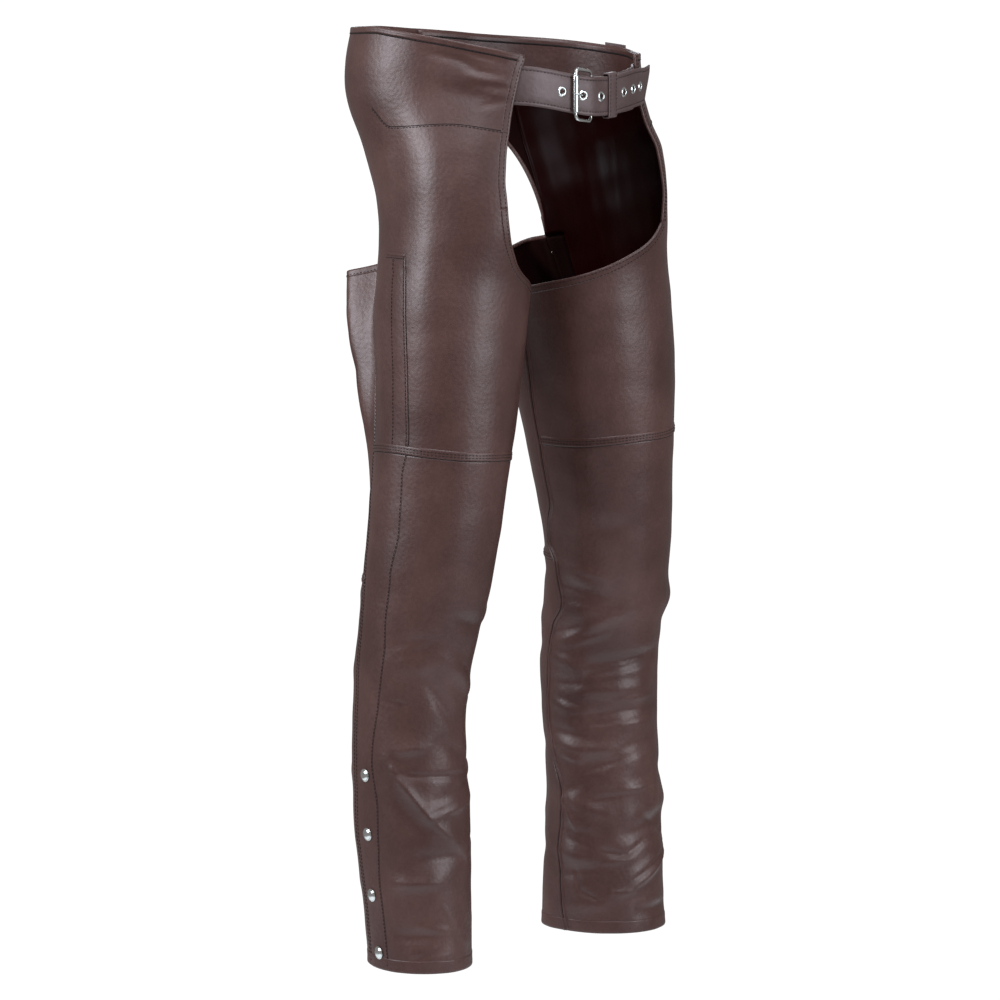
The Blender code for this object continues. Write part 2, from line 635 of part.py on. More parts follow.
def strap(name, line, edges, material):
    """Flat strap standing on edge along a line, between two shaped edges."""
    points = [strap_point(s / 1000.0, o / 1000.0) for s, o in line]
    stations = [row[0] for row in edges]
    vertices = []
    count = len(points)
    for k, point in enumerate(points):
        before = points[max(k - 1, 0)]
        after = points[min(k + 1, count - 1)]
        tangent = after - before
        tangent /= np.linalg.norm(tangent)
        outward = np.cross(tangent, [0.0, 0.0, 1.0])
        outward /= np.linalg.norm(outward)
        low, high, lean = [float(np.interp(line[k][0], stations, [row[n] for row in edges])) / 1000.0
                           for n in (1, 2, 3)]
        for height in (low, high):
            aside = lean * height / high
            for depth in (-STRAP_WALL / 2, STRAP_WALL / 2):
                vertices.append(point + outward * (depth + aside) + np.array([0.0, 0.0, height]))
    faces = []
    for k in range(count - 1):
        a = 4 * k
        b = a + 4
        faces += [[a, b, b + 1, a + 1], [a + 1, b + 1, b + 3, a + 3],
                  [a + 3, b + 3, b + 2, a + 2], [a + 2, b + 2, b, a]]
    faces.append([0, 1, 3, 2])
    end = 4 * (count - 1)
    faces.append([end, end + 2, end + 3, end + 1])
    return new_object(name, vertices, faces, material)


def cut_with(target, cutter):
    """Subtract a cutter kept in its own collection."""
    cutter.hide_render = True
    cutter.display_type = "WIRE"
    part_collection.objects.unlink(cutter)
    cutter_collection.objects.link(cutter)
    modifier = target.modifiers.new("cut_" + cutter.name, "BOOLEAN")
    modifier.operation = "DIFFERENCE"
    modifier.solver = "EXACT"
    modifier.object = cutter


def strap_bore(name, station, out, radius, length):
    """Cylinder across the strap, for a hole."""
    centre = strap_point(station / 1000.0, out / 1000.0)
    _, _, outward = belly_curve(station / 1000.0)
    profile = ((0.0, -length), (radius, -length), (radius, length), (0.0, length))
    return turned(name, centre, outward, profile, 12, HIDE)


for leftover in list(bpy.data.objects):
    bpy.data.objects.remove(leftover)
part_collection = bpy.data.collections.new("leather_chaps")
cutter_collection = bpy.data.collections.new("cutters")
bpy.context.scene.collection.children.link(part_collection)
bpy.context.scene.collection.children.link(cutter_collection)
cutter_collection.hide_render = True
belly_points = belly_line()

# snaps: height and angle in front of the side opening
SNAP_COLUMNS = ("z", "before_opening")
SNAPS = ((-803, 21.3), (-869, 22), (-938, 18.5), (-1002, 24))

for side in ("right", "left"):
    grid = LegGrid(side)
    front_columns = grid.columns

    def is_hip(block, i, j):
        return block == "hip" or (block == "front" and j < THIGH_ROWS)

    def is_lower_front(block, i, j):
        return block == "front" and j >= THIGH_ROWS

    def is_thigh_back(block, i, j):
        return block == "back" and j < BACK_SEAM_ROW

    def is_calf_back(block, i, j):
        return block == "back" and j >= BACK_SEAM_ROW

    def is_facing(block, i, j):
        if block != "hip" or i == front_columns:
            return False
        behind = i - grid.last_front
        return j + len(HIP_ROWS) - 1 < (FACING_ROWS if behind < 0 else BACK_FACING_ROWS[behind])

    def is_lining(block, i, j):
        if block == "hip":
            if j + len(HIP_ROWS) - 1 < FACING_ROWS or i == front_columns:
                return False
            return i < grid.last_front
        if block != "front" or j >= LINING_ROWS or i == grid.last_front - 1:
            return False
        return j > 0 or i > front_columns

    def is_zip_tape(block, i, j):
        if block == "front":
            return i == grid.last_front - 1 and 0 < j < THIGH_ROWS + LEG_ROWS - 1
        return block == "back" and i == grid.last_front and 0 < j < THIGH_ROWS + LEG_ROWS - 1

    inside = -LEATHER - LAYER_GAP
    cloth(side + "_hip_panel", grid, is_hip, 0.0, LEATHER, HIDE)
    cloth(side + "_lower_front", grid, is_lower_front, 0.0, LEATHER, HIDE)
    cloth(side + "_thigh_back", grid, is_thigh_back, 0.0, LEATHER, HIDE)
    cloth(side + "_calf_back", grid, is_calf_back, 0.0, LEATHER, HIDE)
    cloth(side + "_waist_facing", grid, is_facing, inside, FACING, HIDE)
    cloth(side + "_hip_lining", grid, is_lining, -LEATHER - LINING_GAP, LINING, SATIN)
    cloth(side + "_zip_tape", grid, is_zip_tape, inside, ZIP_TAPE, SATIN)
    for number, (z, before) in enumerate(SNAPS, 1):
        height = z / 1000.0
        turn = float(opening_angle(side, height)) - before
        centre = surface(side, turn, height)
        across = surface(side, turn + 1.0, height) - surface(side, turn - 1.0, height)
        drop = surface(side, turn, height - 0.002) - surface(side, turn, height + 0.002)
        normal = np.cross(drop, across) * SIDES[side]
        normal = normal / np.linalg.norm(normal)
        radius = SNAP_CAP / 2
        lift = LAYER_GAP + 0.0002
        profile = ((0.0, lift), (radius * 0.93, lift), (radius, lift + 0.0006),
                   (radius * 0.86, lift + 0.0016), (radius * 0.45, lift + 0.0022), (0.0, lift + 0.0024))
        turned(side + "_snap_%d" % number, centre, normal, profile, 14, NICKEL)

# strap lines: millimetres along the belly line and out from it
LINE_COLUMNS = ("station", "out")
edge_right = np.linalg.norm(np.diff(belly_points[:6, :2], axis=0), axis=1).sum() * 1000.0
whole = np.linalg.norm(np.diff(belly_points[:, :2], axis=0), axis=1).sum() * 1000.0
tail = np.linalg.norm(np.diff(belly_points[-8:, :2], axis=0), axis=1).sum() * 1000.0
edge_left = whole - tail
start_right = edge_right - 8.0
start_left = edge_left + 8.0
heel = edge_right + 103.0
bar = heel - 29.0
tip_at = edge_right + 228.0
right_line = (
    (start_right, -8.4), (edge_right - 4, -8.2), (edge_right + 2, -7.5), (edge_right + 8, -6.4),
    (edge_right + 14, -5.2), (edge_right + 24, -3.4), (edge_right + 38, -2.2), (edge_right + 52, -1.7),
    (bar - 14, -1.7), (bar - 6, -1.7), (bar, -1.5), (bar + 4, -0.9), (bar + 10, 0.4), (bar + 16, 1.8),
    (bar + 21, 2.8), (heel - 2, 3.3), (heel + 4, 3.1), (heel + 12, 3.0), (heel + 24, 3.0), (heel + 36, 3.0),
    (heel + 50, 3.0), (heel + 64, 3.0),
    (heel + 74, 3.0), (tip_at - 42, 3.4), (tip_at - 32, 4.4), (tip_at - 22, 5.7), (tip_at - 14, 6.6),
    (tip_at - 7, 7.1), (tip_at, 7.3),
)
fold = [(heel, 0.0), (heel - 2.0, -0.6), (heel - 3.1, -1.9), (heel - 3.5, -3.5), (heel - 3.1, -5.1),
        (heel - 2.0, -6.4), (heel, -7.0)]
left_line = [
    (start_left, -7.4), (edge_left + 4, -7.2), (edge_left - 4, -6.0), (edge_left - 14, -3.6),
    (edge_left - 26, -1.4), (edge_left - 40, -0.4), (heel + 66, 0.0), (heel + 52, 0.0), (heel + 38, 0.0),
    (heel + 26, 0.0), (heel + 14, 0.0), (heel + 6, 0.0)] + fold + [
    (heel + 6, -7.0), (heel + 14, -7.0), (heel + 22, -7.0)]

# strap edges: station, lower and upper edge, and the upper edge's lean out
EDGE_COLUMNS = ("station", "low", "high", "lean")
edge = STRAP_HEIGHT / 2 * 1000.0
right_edges = ((start_right, -edge, edge, 0.0), (tip_at - 50, -edge, edge, 0.0),
               (tip_at - 32, -edge, edge - 1.0, 0.2), (tip_at - 22, -edge, edge - 2.0, 0.4),
               (tip_at - 14, -edge, edge - 2.5, 0.7), (tip_at - 7, -4.0, edge - 1.5, 1.0),
               (tip_at, 13.0, edge - 0.5, 1.2))
left_edges = ((heel + 20, -edge, edge, 0.0), (heel + 52, -edge - 1.5, edge + 1.0, 0.0),
              (edge_left - 26, -edge - 3.0, edge + 1.5, 0.0), (start_left, -edge - 3.0, edge + 1.0, 0.0))
right_strap = strap("right_waist_strap", right_line, right_edges, HIDE)
left_strap = strap("left_waist_strap", left_line, left_edges, HIDE)

# eyelets: distance along the strap from the right hip's front edge
EYELETS = (58.5, 86.0, 111.3, 154.0, 176.5, 195.5)
hole = EYELET / 2 * 0.6
stations = [row[0] for row in right_line]
outs = [row[1] for row in right_line]
for number, offset in enumerate(EYELETS, 1):
    station = edge_right + offset
    out = float(np.interp(station, stations, outs))
    cut_with(right_strap, strap_bore("eyelet_bore_%d" % number, station, out, hole, 0.003))
    low = strap_point((station - 3.0) / 1000.0, float(np.interp(station - 3.0, stations, outs)) / 1000.0)
    high = strap_point((station + 3.0) / 1000.0, float(np.interp(station + 3.0, stations, outs)) / 1000.0)
    ahead = high - low
    ahead = ahead / np.linalg.norm(ahead)
    facing = np.cross(ahead, [0.0, 0.0, 1.0])
    facing = facing / np.linalg.norm(facing)
    outer = EYELET / 2
    base = STRAP_WALL / 2 + LAYER_GAP + 0.0001
    profile = ((hole + 0.0001, base), (outer, base), (outer * 0.95, base + 0.0006),
               (outer * 0.8, base + 0.0009), (hole + 0.0002, base + 0.0005))
    turned("eyelet_%d" % number, strap_point(station / 1000.0, out / 1000.0), facing, profile, 16, NICKEL)

# notch in the left strap's fold, for the prong
notch_centre = strap_point(heel / 1000.0, -0.0035)
_, notch_along, notch_out = belly_curve(heel / 1000.0)
corners = []
for a, b, c in ((-1, -1, -1), (1, -1, -1), (1, 1, -1), (-1, 1, -1),
                (-1, -1, 1), (1, -1, 1), (1, 1, 1), (-1, 1, 1)):
    corners.append(notch_centre + notch_along * 0.0065 * a + notch_out * 0.007 * b
                   + np.array([0.0, 0.0, 0.0028 * c]))
notch = new_object("prong_notch", corners, [[0, 3, 2, 1], [4, 5, 6, 7], [0, 1, 5, 4], [1, 2, 6, 5],
                                            [2, 3, 7, 6], [3, 0, 4, 7]], HIDE)
cut_with(left_strap, notch)

# buckle frame: corners rounded, heel bar through the left strap's fold
FRAME_WIRE = 0.0018
ROLLER = 0.0034
FRAME_HALF = 0.0275
CORNER = 0.006
bar_out = 3.5
heel_out = -3.5
frame_path = []
for step in range(9):
    frame_path.append((bar, bar_out, -FRAME_HALF + CORNER + (2 * FRAME_HALF - 2 * CORNER) * step / 8))
for corner_s, corner_o, rise, turn in ((bar, bar_out, 1, 0), (heel, heel_out, 1, 1),
                                       (heel, heel_out, -1, 2), (bar, bar_out, -1, 3)):
    slant = (heel_out - bar_out) / (heel - bar)
    inward = 1.0 if turn in (0, 3) else -1.0
    for step in range(1, 4):
        share = step / 4.0 * math.pi / 2
        if turn in (0, 2):
            run = CORNER * 1000.0 * (1 - math.cos(share))
            climb = CORNER * math.sin(share)
        else:
            run = CORNER * 1000.0 * (1 - math.sin(share))
            climb = CORNER * math.cos(share)
        s = corner_s + inward * run
        o = corner_o + slant * inward * run
        frame_path.append((s, o, rise * (FRAME_HALF - CORNER + climb)))
    if turn == 1:
        for step in range(9):
            frame_path.append((heel, heel_out, FRAME_HALF - CORNER
                               - (2 * FRAME_HALF - 2 * CORNER) * step / 8))
frame_points = [strap_point(s / 1000.0, o / 1000.0, r) for s, o, r in frame_path]
frame_radii = [ROLLER] * 9 + [FRAME_WIRE] * (len(frame_points) - 9)
swept("buckle_frame", frame_points, frame_radii, 8, NICKEL, closed=True)

prong_line = [(2.2, -5.6), (0.2, -6.5), (-1.9, -5.9), (-2.95, -4.2), (-3.6, -2.4), (-5.2, -1.3),
              (-8.0, -1.0), (-11.5, -1.5), (-13.9, -1.1), (-17.0, 1.4), (-20.2, 4.0), (-24.0, 6.8),
              (-26.4, 7.9), (-29.0, 8.1), (-31.6, 7.8)]
prong_points = [strap_point((heel + s) / 1000.0, o / 1000.0) for s, o in prong_line]
swept("buckle_prong", prong_points, [0.0009] * 13 + [0.00085, 0.0006], 8, NICKEL)

# keeper loop round both straps
keeper_at = edge_right + 130.0
KEEPER_HALF = 0.0233
KEEPER_WIDTH = 15.0
KEEPER_WALL = 0.0016
section = []
for grow in (0.0, KEEPER_WALL):
    low = -1.3 - 0.8 - grow * 1000.0
    high = 4.3 + 0.6 + grow * 1000.0
    tall = KEEPER_HALF + grow
    round_off = 1.6 + grow * 1000.0
    ring = []
    for o_end, r_sign in ((low, -1), (high, -1), (high, 1), (low, 1)):
        towards = 1 if o_end == low else -1
        first = (o_end + towards * round_off, r_sign * tall)
        second = (o_end, r_sign * (tall - round_off / 1000.0))
        middle = (o_end + towards * round_off * 0.3, r_sign * (tall - round_off * 0.0003))
        order = (second, middle, first) if (o_end == low) == (r_sign == -1) else (first, middle, second)
        ring += order
    section.append(ring)
vertices = []
for s in (keeper_at - KEEPER_WIDTH / 2, keeper_at + KEEPER_WIDTH / 2):
    for ring in section:
        for o, r in ring:
            vertices.append(strap_point(s / 1000.0, o / 1000.0, r))
size = len(section[0])
faces = []
for k in range(size):
    n = (k + 1) % size
    inner_a, outer_a, inner_b, outer_b = 0, size, 2 * size, 3 * size
    faces += [[inner_a + k, inner_a + n, outer_a + n, outer_a + k],
              [inner_b + k, outer_b + k, outer_b + n, inner_b + n],
              [outer_a + k, outer_a + n, outer_b + n, outer_b + k],
              [inner_a + k, inner_b + k, inner_b + n, inner_a + n]]
new_object("strap_keeper", vertices, faces, HIDE)

# small tab standing above the left hip's edge
vertices = []
tab_heights = (-0.026, -0.012, -0.001, 0.0035)
tab_turns = (78.5, 85.5, 92.5, 99.5)
for depth in (0.0006, 0.0022):
    for turn in tab_turns:
        rim = float(along(WAIST_EDGE["left"], turn)) / 1000.0
        for height in tab_heights:
            z = rim + min(height, -0.001)
            away = surface("left", turn + 1.0, z) - surface("left", turn - 1.0, z)
            away = np.cross(away, [0.0, 0.0, 1.0])
            away = away / np.linalg.norm(away)
            point = surface("left", turn, z) + away * depth
            vertices.append(np.array([point[0], point[1], rim + height]))
faces = []
rows = len(tab_heights)
layer = rows * len(tab_turns)
for k in range(len(tab_turns) - 1):
    for n in range(rows - 1):
        a = k * rows + n
        faces.append([a, a + 1, a + rows + 1, a + rows])
        faces.append([layer + a, layer + a + rows, layer + a + rows + 1, layer + a + 1])
outline = ([n for n in range(rows)] + [k * rows + rows - 1 for k in range(1, len(tab_turns))]
           + [layer - 2 - n for n in range(rows - 1)] + [k * rows for k in range(len(tab_turns) - 2, 0, -1)])
for k, here in enumerate(outline):
    there = outline[(k + 1) % len(outline)]
    faces.append([here, layer + here, layer + there, there])
new_object("left_hip_tab", vertices, faces, HIDE)
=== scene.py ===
"""Leather chaps: leather, satin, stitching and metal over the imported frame.

Metres, +Z up, in the frame's own place: the wearer faces -Y, with the right leg at -X.
Every leather piece is a thin shell on one drawn surface for each leg. Angles go
round a leg in degrees from its front towards its outer side.
"""
import math

import bmesh
import bpy
import numpy as np
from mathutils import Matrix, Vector


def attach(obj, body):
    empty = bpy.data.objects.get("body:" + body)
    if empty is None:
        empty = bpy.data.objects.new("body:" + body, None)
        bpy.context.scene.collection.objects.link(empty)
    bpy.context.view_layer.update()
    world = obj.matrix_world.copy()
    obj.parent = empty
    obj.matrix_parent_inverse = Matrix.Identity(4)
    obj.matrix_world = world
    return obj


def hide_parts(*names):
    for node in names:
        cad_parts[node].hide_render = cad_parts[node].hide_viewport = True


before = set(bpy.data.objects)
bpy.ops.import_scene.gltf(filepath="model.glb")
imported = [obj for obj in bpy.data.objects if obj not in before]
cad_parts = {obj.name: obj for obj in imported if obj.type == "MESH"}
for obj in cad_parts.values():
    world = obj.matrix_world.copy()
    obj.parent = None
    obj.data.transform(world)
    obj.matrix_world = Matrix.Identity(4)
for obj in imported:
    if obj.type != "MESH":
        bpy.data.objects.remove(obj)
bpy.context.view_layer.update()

MM = 0.001
LEATHER = 1.8             # thickness of the leg and hip leather, in millimetres
SATIN_WALL = 0.6
FACING_WALL = 1.2
TAPE_WALL = 1.0
LINING_LIFT = -2.4        # where the satin's outer face lies under the leather's face
FACING_LIFT = -2.1        # the same for the waist facing and the zip tape
STRAP_HEIGHT = 43.0
STRAP_WALL = 2.6
COARSEST_FOLD = 13.0      # least half width of a fold in the frame's own solids
FOLD_RADIUS = 66.0        # leg radius that turns a fold's angles into lengths, in millimetres
FLARE_DIRECTION = math.radians(135.0)    # where the flared back leather stands out to
FRONT_ANGLE = 9.0         # angle of a hip's front edge
OPENING_ANGLE = 163.0     # angle of the side opening at the hip
INSIDE_ANGLE = -104.0     # angle of the inside leg seam at the crotch
LAST_BACK = INSIDE_ANGLE + 360.0         # the same, seen from behind
CENTRE_BACK = 214.0       # angle of the middle of the back
CREASE_DEPTH = 1.6        # how much the sharp creases are deepened
SIDES = {"right": -1.0, "left": 1.0}

# height, leg axis out from the middle, leg axis along Y, then radii at the
# inner, front inner, front, front outer and outer sides, at the side opening,
# midway behind it, at the back and at the back inner side, then the angle of
# the side opening; lengths in millimetres, angle in degrees
SECTION_COLUMNS = ("z", "axis_x", "axis_y", "inner", "front_inner", "front",
                   "front_outer", "outer", "opening", "behind", "back",
                   "back_inner", "opening_angle")
RIGHT_SECTIONS = (
    (30, 85, 0, 150, 135, 127, 99, 97, 108, 117, 140, 232, 163),
    (-50, 88, -2, 150, 135, 128, 99, 100, 117, 123, 143, 232, 163),
    (-120, 97, -6, 140, 132, 131, 109, 83, 92, 117, 143, 176, 163),
    (-190, 106, -10, 106, 116, 129, 105, 73, 69, 88, 108, 118, 163),
    (-250, 114, -14, 100, 107, 110, 101, 75, 66, 87, 100, 105, 159),
    (-300, 119, -18, 92, 102, 105, 99, 77, 69, 83, 95, 97, 150),
    (-380, 125, -26, 82, 92, 96, 92, 75, 67, 77, 86, 82, 140),
    (-460, 131, -33, 75, 80, 85, 81, 74, 71, 78, 80, 77, 131),
    (-580, 145, -29, 68, 75, 75, 70, 67, 68, 72, 72, 67, 124),
    (-720, 155, -9, 66, 67, 67, 62, 59, 58, 63, 65, 66, 118),
    (-860, 154, -10, 64, 69, 69, 65, 59, 60, 63, 65, 64, 117),
    (-970, 152, -18, 61, 63, 67, 62, 56, 55, 59, 64, 62, 117),
    (-1080, 151, -22, 58, 60, 66, 61, 54, 53, 57, 62, 60, 117),
)
LEFT_SECTIONS = (
    (30, 85, 0, 145, 128, 118, 93, 99, 115, 123, 143, 232, 163),
    (-50, 88, -2, 145, 128, 119, 93, 98, 114, 122, 143, 232, 163),
    (-90, 93, -4, 143, 128, 123, 98, 93, 107, 121, 143, 206, 163),
    (-120, 97, -6, 140, 132, 130, 106, 87, 98, 119, 143, 176, 163),
    (-190, 106, -10, 106, 116, 127, 100.5, 77, 74, 90, 108, 118, 163),
    (-250, 114, -14, 100, 107, 110, 98, 77, 70, 88, 100, 105, 159),
    (-300, 119, -18, 92, 102, 105, 97.5, 77, 70, 83, 96, 98, 150),
    (-380, 125, -26, 82, 92, 96, 92, 75, 67, 79, 91, 91, 140),
    (-460, 131, -33, 75, 79, 84, 82, 74, 72, 79, 84, 85, 131),
    (-580, 145, -29, 67, 71, 73, 73, 70, 69, 73, 73, 71, 124),
    (-720, 155, -9, 66, 64, 66, 67, 63, 62, 66, 69, 69, 118),
    (-860, 154, -10, 62, 63, 68, 70, 64, 62, 63, 63, 61, 117),
    (-970, 152, -18, 63, 62, 68, 70, 64, 60, 64, 70, 69, 117),
    (-1080, 151, -22, 62, 62, 69, 72, 64, 60, 67, 75, 72, 117),
)
SECTIONS = {"right": RIGHT_SECTIONS, "left": LEFT_SECTIONS}
TURN = SECTION_COLUMNS.index("opening_angle") - 1      # its place once the height is taken off

# cut lines, as pairs of angle and height or of height and angle
FRONT_EDGE = {
    "right": ((30, 1), (-15, 1.5), (-25, 3.5), (-45, 6), (-80, 9), (-120, 11), (-144, 11.2), (-166, 9.8),
              (-175, 9)),
    "left": ((30, 5), (-30, 5), (-80, 7), (-120, 11.5), (-160, 12.5), (-200, 9)),
}
CROTCH_CUT = {
    "right": ((-104, -274), (-71, -270), (-41.5, -265), (-30, -259), (-17, -250), (-7, -238), (-1.5, -226),
              (3, -213), (5.5, -202), (7.8, -187), (9, -175)),
    "left": ((-104, -274), (-88, -273), (-71, -268), (-50, -260), (-32, -250), (-15, -236), (0, -219),
             (9, -200)),
}
FRONT_CORNER = {"right": -0.175, "left": -0.2}    # height where the front edge meets the crotch edge
WAIST_EDGE = {
    "right": ((1, -12), (8, -11), (25, -2.5), (50, 8), (79, 16), (97, 19.5), (135, 18), (180, 18),
              (214, 13.8)),
    "left": ((6, -13), (45, -12), (90, -7), (135, 1), (180, 7), (195, 10), (214, 13.8)),
}
BACK_CUT = {
    "right": ((163, -243), (163.8, -185), (165.5, -150), (169, -124), (175, -106), (184, -94), (197, -86),
              (214, -82)),
    "left": ((163, -223), (165.2, -184), (167.8, -150), (171.5, -125), (177, -107), (185.5, -94),
             (197, -86), (214, -82)),
}
BACK_TOP = {
    "right": ((163, -243), (170, -250), (180, -256), (195, -263), (220, -271), (256, -274)),
    "left": ((163, -223), (170, -226), (180, -231), (195, -241), (220, -257), (256, -274)),
}

# height and angle of the inside leg seam, which wanders with the folds
INSEAM = {
    "right": ((-274, -104), (-360, -102), (-450, -105), (-520, -104), (-560, -109), (-600, -101),
              (-650, -106), (-700, -99), (-760, -106), (-820, -101), (-880, -94), (-950, -99),
              (-1022, -95)),
    "left": ((-274, -104), (-330, -101), (-428, -106), (-520, -105), (-546, -112), (-570, -115),
             (-594, -104), (-618, -100), (-642, -93), (-668, -104), (-702, -107), (-780, -111),
             (-822, -104), (-864, -91), (-926, -98), (-1000, -94), (-1022, -90)),
}

# height, how far the back leather stands out behind the side opening
FLARE = {
    "right": ((-200, 38), (-250, 38), (-300, 34), (-350, 28), (-400, 19), (-440, 9), (-490, 0)),
    "left": ((-200, 30), (-250, 30), (-300, 26), (-350, 20), (-400, 13), (-440, 6), (-490, 0)),
}

# folds: angle and height of each end, rise out of the surface, half width;
# heights, rise and width in millimetres
FOLDS = {
    "right": (
        (66, -782, 25, -842, 3.0, 9), (-35, -830, 25, -842, 3.5, 8), (25, -842, -25, -890, 3.0, 8),
        (36, -892, -7, -892, -3.5, 9), (62, -920, 11, -914, 3.0, 11), (26, -690, -6, -742, -4.0, 8),
        (22, -664, -45, -716, 3.5, 10), (10, -624, -39, -642, -3.5, 8), (7, -950, -13, -990, 2.5, 6),
        (61, -980, 23, -978, -3.0, 8), (48, -1000, 15, -1002, 2.0, 8), (68, -648, 21, -658, -2.0, 12),
        (64, -674, 28, -678, 2.0, 12), (60, -768, 26, -764, 2.0, 12), (9, -766, -42, -792, -2.5, 9),
        (12, -828, -45, -810, -2.5, 8), (56, -826, 33, -864, -2.5, 9), (54, -4, 14, -24, -1.5, 9),
        (48, -44, 14, -60, -1.6, 9), (51, -24, 14, -42, 1.4, 10), (-98, -600, -52, -618, 2.0, 9),
        (-100, -640, -58, -634, -2.5, 8), (-96, -662, -60, -680, 2.4, 8),
        (-102, -706, -62, -700, -2.4, 9), (-98, -744, -60, -760, 2.2, 9),
        (-100, -796, -58, -788, -2.4, 8), (-98, -850, -54, -862, 2.4, 9),
        (-96, -905, -50, -896, -2.2, 9), (-99, -962, -56, -970, 2.2, 9),
        (150, -560, 214, -584, -2.5, 10), (146, -604, 222, -622, 3.0, 10),
        (152, -650, 226, -640, -3.0, 9), (142, -690, 206, -712, 2.6, 11),
        (160, -752, 232, -742, -2.6, 10), (146, -806, 214, -826, 2.6, 10),
        (158, -870, 228, -858, -2.4, 10), (144, -930, 212, -944, 2.4, 11),
        (150, -350, 186, -384, -2.0, 12), (196, -420, 236, -404, 2.0, 12),
    ),
    "left": (
        (-91, -684, -19, -644, 3.5, 8), (-66, -742, 6, -738, 3.5, 9), (-33, -776, 13, -778, 3.0, 9),
        (-97, -806, -11, -814, 3.0, 9), (-33, -852, 9, -854, 3.0, 9), (-55, -710, 36, -698, -5.0, 8),
        (-72, -772, 24, -762, -3.0, 7), (-73, -832, 15, -798, -3.0, 8), (-62, -874, 17, -838, -2.5, 9),
        (-35, -974, 41, -928, 4.0, 9), (-16, -908, 40, -890, -6.0, 11), (-8, -998, 38, -998, -4.0, 7),
        (-97, -596, -50, -608, 2.0, 8), (-96, -618, -47, -628, -2.5, 7), (-88, -646, -50, -654, 2.0, 8),
        (-104, -674, -59, -666, -2.5, 8), (-102, -702, -65, -714, 2.5, 8),
        (-101, -732, -61, -732, -2.5, 8), (-105, -756, -66, -766, 2.0, 8),
        (-102, -788, -56, -798, -2.5, 8), (-84, -860, -58, -842, -2.0, 8),
        (-85, -868, -40, -884, 2.5, 8), (-95, -902, -52, -912, -2.5, 8), (-99, -928, -59, -938, 2.5, 9),
        (-97, -956, -45, -946, -2.5, 9), (-92, -994, -39, -984, 2.0, 10),
        (-62, -550, 1, -540, -1.5, 12), (46, -42, 14, -58, -1.4, 9), (34, -636, 70, -640, 6.0, 20),
        (40, -664, 66, -662, -3.0, 9), (26, -872, 70, -884, 5.0, 20), (40, -838, 66, -842, -3.5, 9),
        (146, -566, 210, -588, 2.5, 10), (152, -618, 226, -604, -3.0, 9),
        (148, -640, 220, -662, 3.0, 10), (156, -706, 230, -694, -2.6, 10),
        (144, -748, 208, -770, 2.6, 11), (152, -822, 226, -810, -2.6, 10),
        (146, -872, 216, -890, 2.4, 10), (156, -944, 226, -932, -2.4, 10),
        (60, -700, 112, -720, 2.2, 10), (64, -760, 108, -752, -2.2, 10), (58, -850, 110, -868, 2.2, 10),
        (154, -360, 190, -392, -2.0, 12), (198, -410, 238, -398, 2.0, 12),
    ),
}

# sharper creases of the leather alone, in the folds' own columns
CREASES = {
    "right": (
        (58, -792, 24, -848, 1.8, 3.6), (24, -848, -17, -894, 1.8, 3.6),
        (24, -842, -24, -828, -1.5, 3.0), (55, -798, -32, -804, -1.5, 3.4),
        (58, -920, 17, -920, 1.2, 4.5), (8, -944, -9, -982, -1.3, 3.0), (55, -772, 25, -768, 1.2, 5.0),
        (54, -8, 34, -16, -1.0, 3.0), (34, -16, 25, -28, -1.1, 3.0), (48, -2, 19, -18, 0.6, 3.2),
        (12, -32, 32, -26, -0.9, 2.6), (11, -46, 28, -41, -0.9, 2.4), (11, -60, 25, -66, -0.8, 2.4),
        (12, -18, 38, -5, -0.8, 2.6), (11, -39, 22, -37, 0.6, 2.2), (11, -53, 21, -53, 0.6, 2.2),
        (66, -246, 71, -243, -0.6, 2.6), (40, -968, 12, -974, 1.0, 3.6),
        (66, -716, 40, -722, -0.8, 3.6), (62, -660, 34, -652, 0.8, 4.0),
        (-4, -676, -34, -694, -1.0, 3.2), (46, -1004, 20, -996, -1.0, 3.2),
        (-60, -612, -36, -636, 0.9, 3.4), (-62, -708, -34, -722, -0.9, 3.4),
        (-60, -790, -36, -806, 0.9, 3.4), (-64, -870, -36, -880, -0.9, 3.4),
        (170, -596, 206, -606, 1.0, 4.0), (168, -680, 202, -672, -1.0, 4.0),
        (172, -782, 208, -792, 1.0, 4.0), (170, -896, 210, -888, -1.0, 4.0),
    ),
    "left": (
        (-89, -870, -74, -904, 1.4, 3.0), (-48, -926, -22, -932, -1.6, 3.2),
        (-22, -932, 3, -916, -1.7, 3.2), (3, -916, 34, -910, -1.7, 3.2),
        (-43, -940, -15, -936, 1.4, 4.0), (-34, -972, 43, -926, -1.8, 3.2),
        (-78, -950, -72, -974, -1.2, 3.0), (-72, -974, -50, -984, -1.3, 3.0),
        (-37, -974, -8, -976, 1.2, 3.0), (-29, -980, 37, -936, 1.4, 3.2),
        (-3, -884, 43, -918, -1.4, 3.4), (-60, -722, 20, -708, -1.4, 3.4),
        (-66, -782, 14, -770, -1.2, 3.4), (-70, -838, 4, -812, -1.2, 3.4),
        (-80, -640, -30, -652, 1.0, 3.6), (-82, -600, -52, -612, -0.9, 3.2),
        (-84, -690, -40, -672, 1.1, 3.6), (-30, -752, 20, -748, 1.1, 3.6),
        (-50, -862, 10, -852, 1.1, 3.6), (-88, -752, -62, -760, -1.0, 3.2),
        (-90, -816, -66, -824, 1.0, 3.2), (-86, -914, -62, -922, -1.0, 3.2),
        (168, -606, 204, -598, 1.0, 4.0), (170, -690, 206, -700, -1.0, 4.0),
        (168, -800, 204, -790, 1.0, 4.0), (170, -880, 210, -890, -1.0, 4.0),
        (66, -640, 96, -652, -0.9, 3.6), (64, -800, 92, -792, 0.9, 3.6),
        (62, -900, 96, -908, -0.9, 3.6),
    ),
}

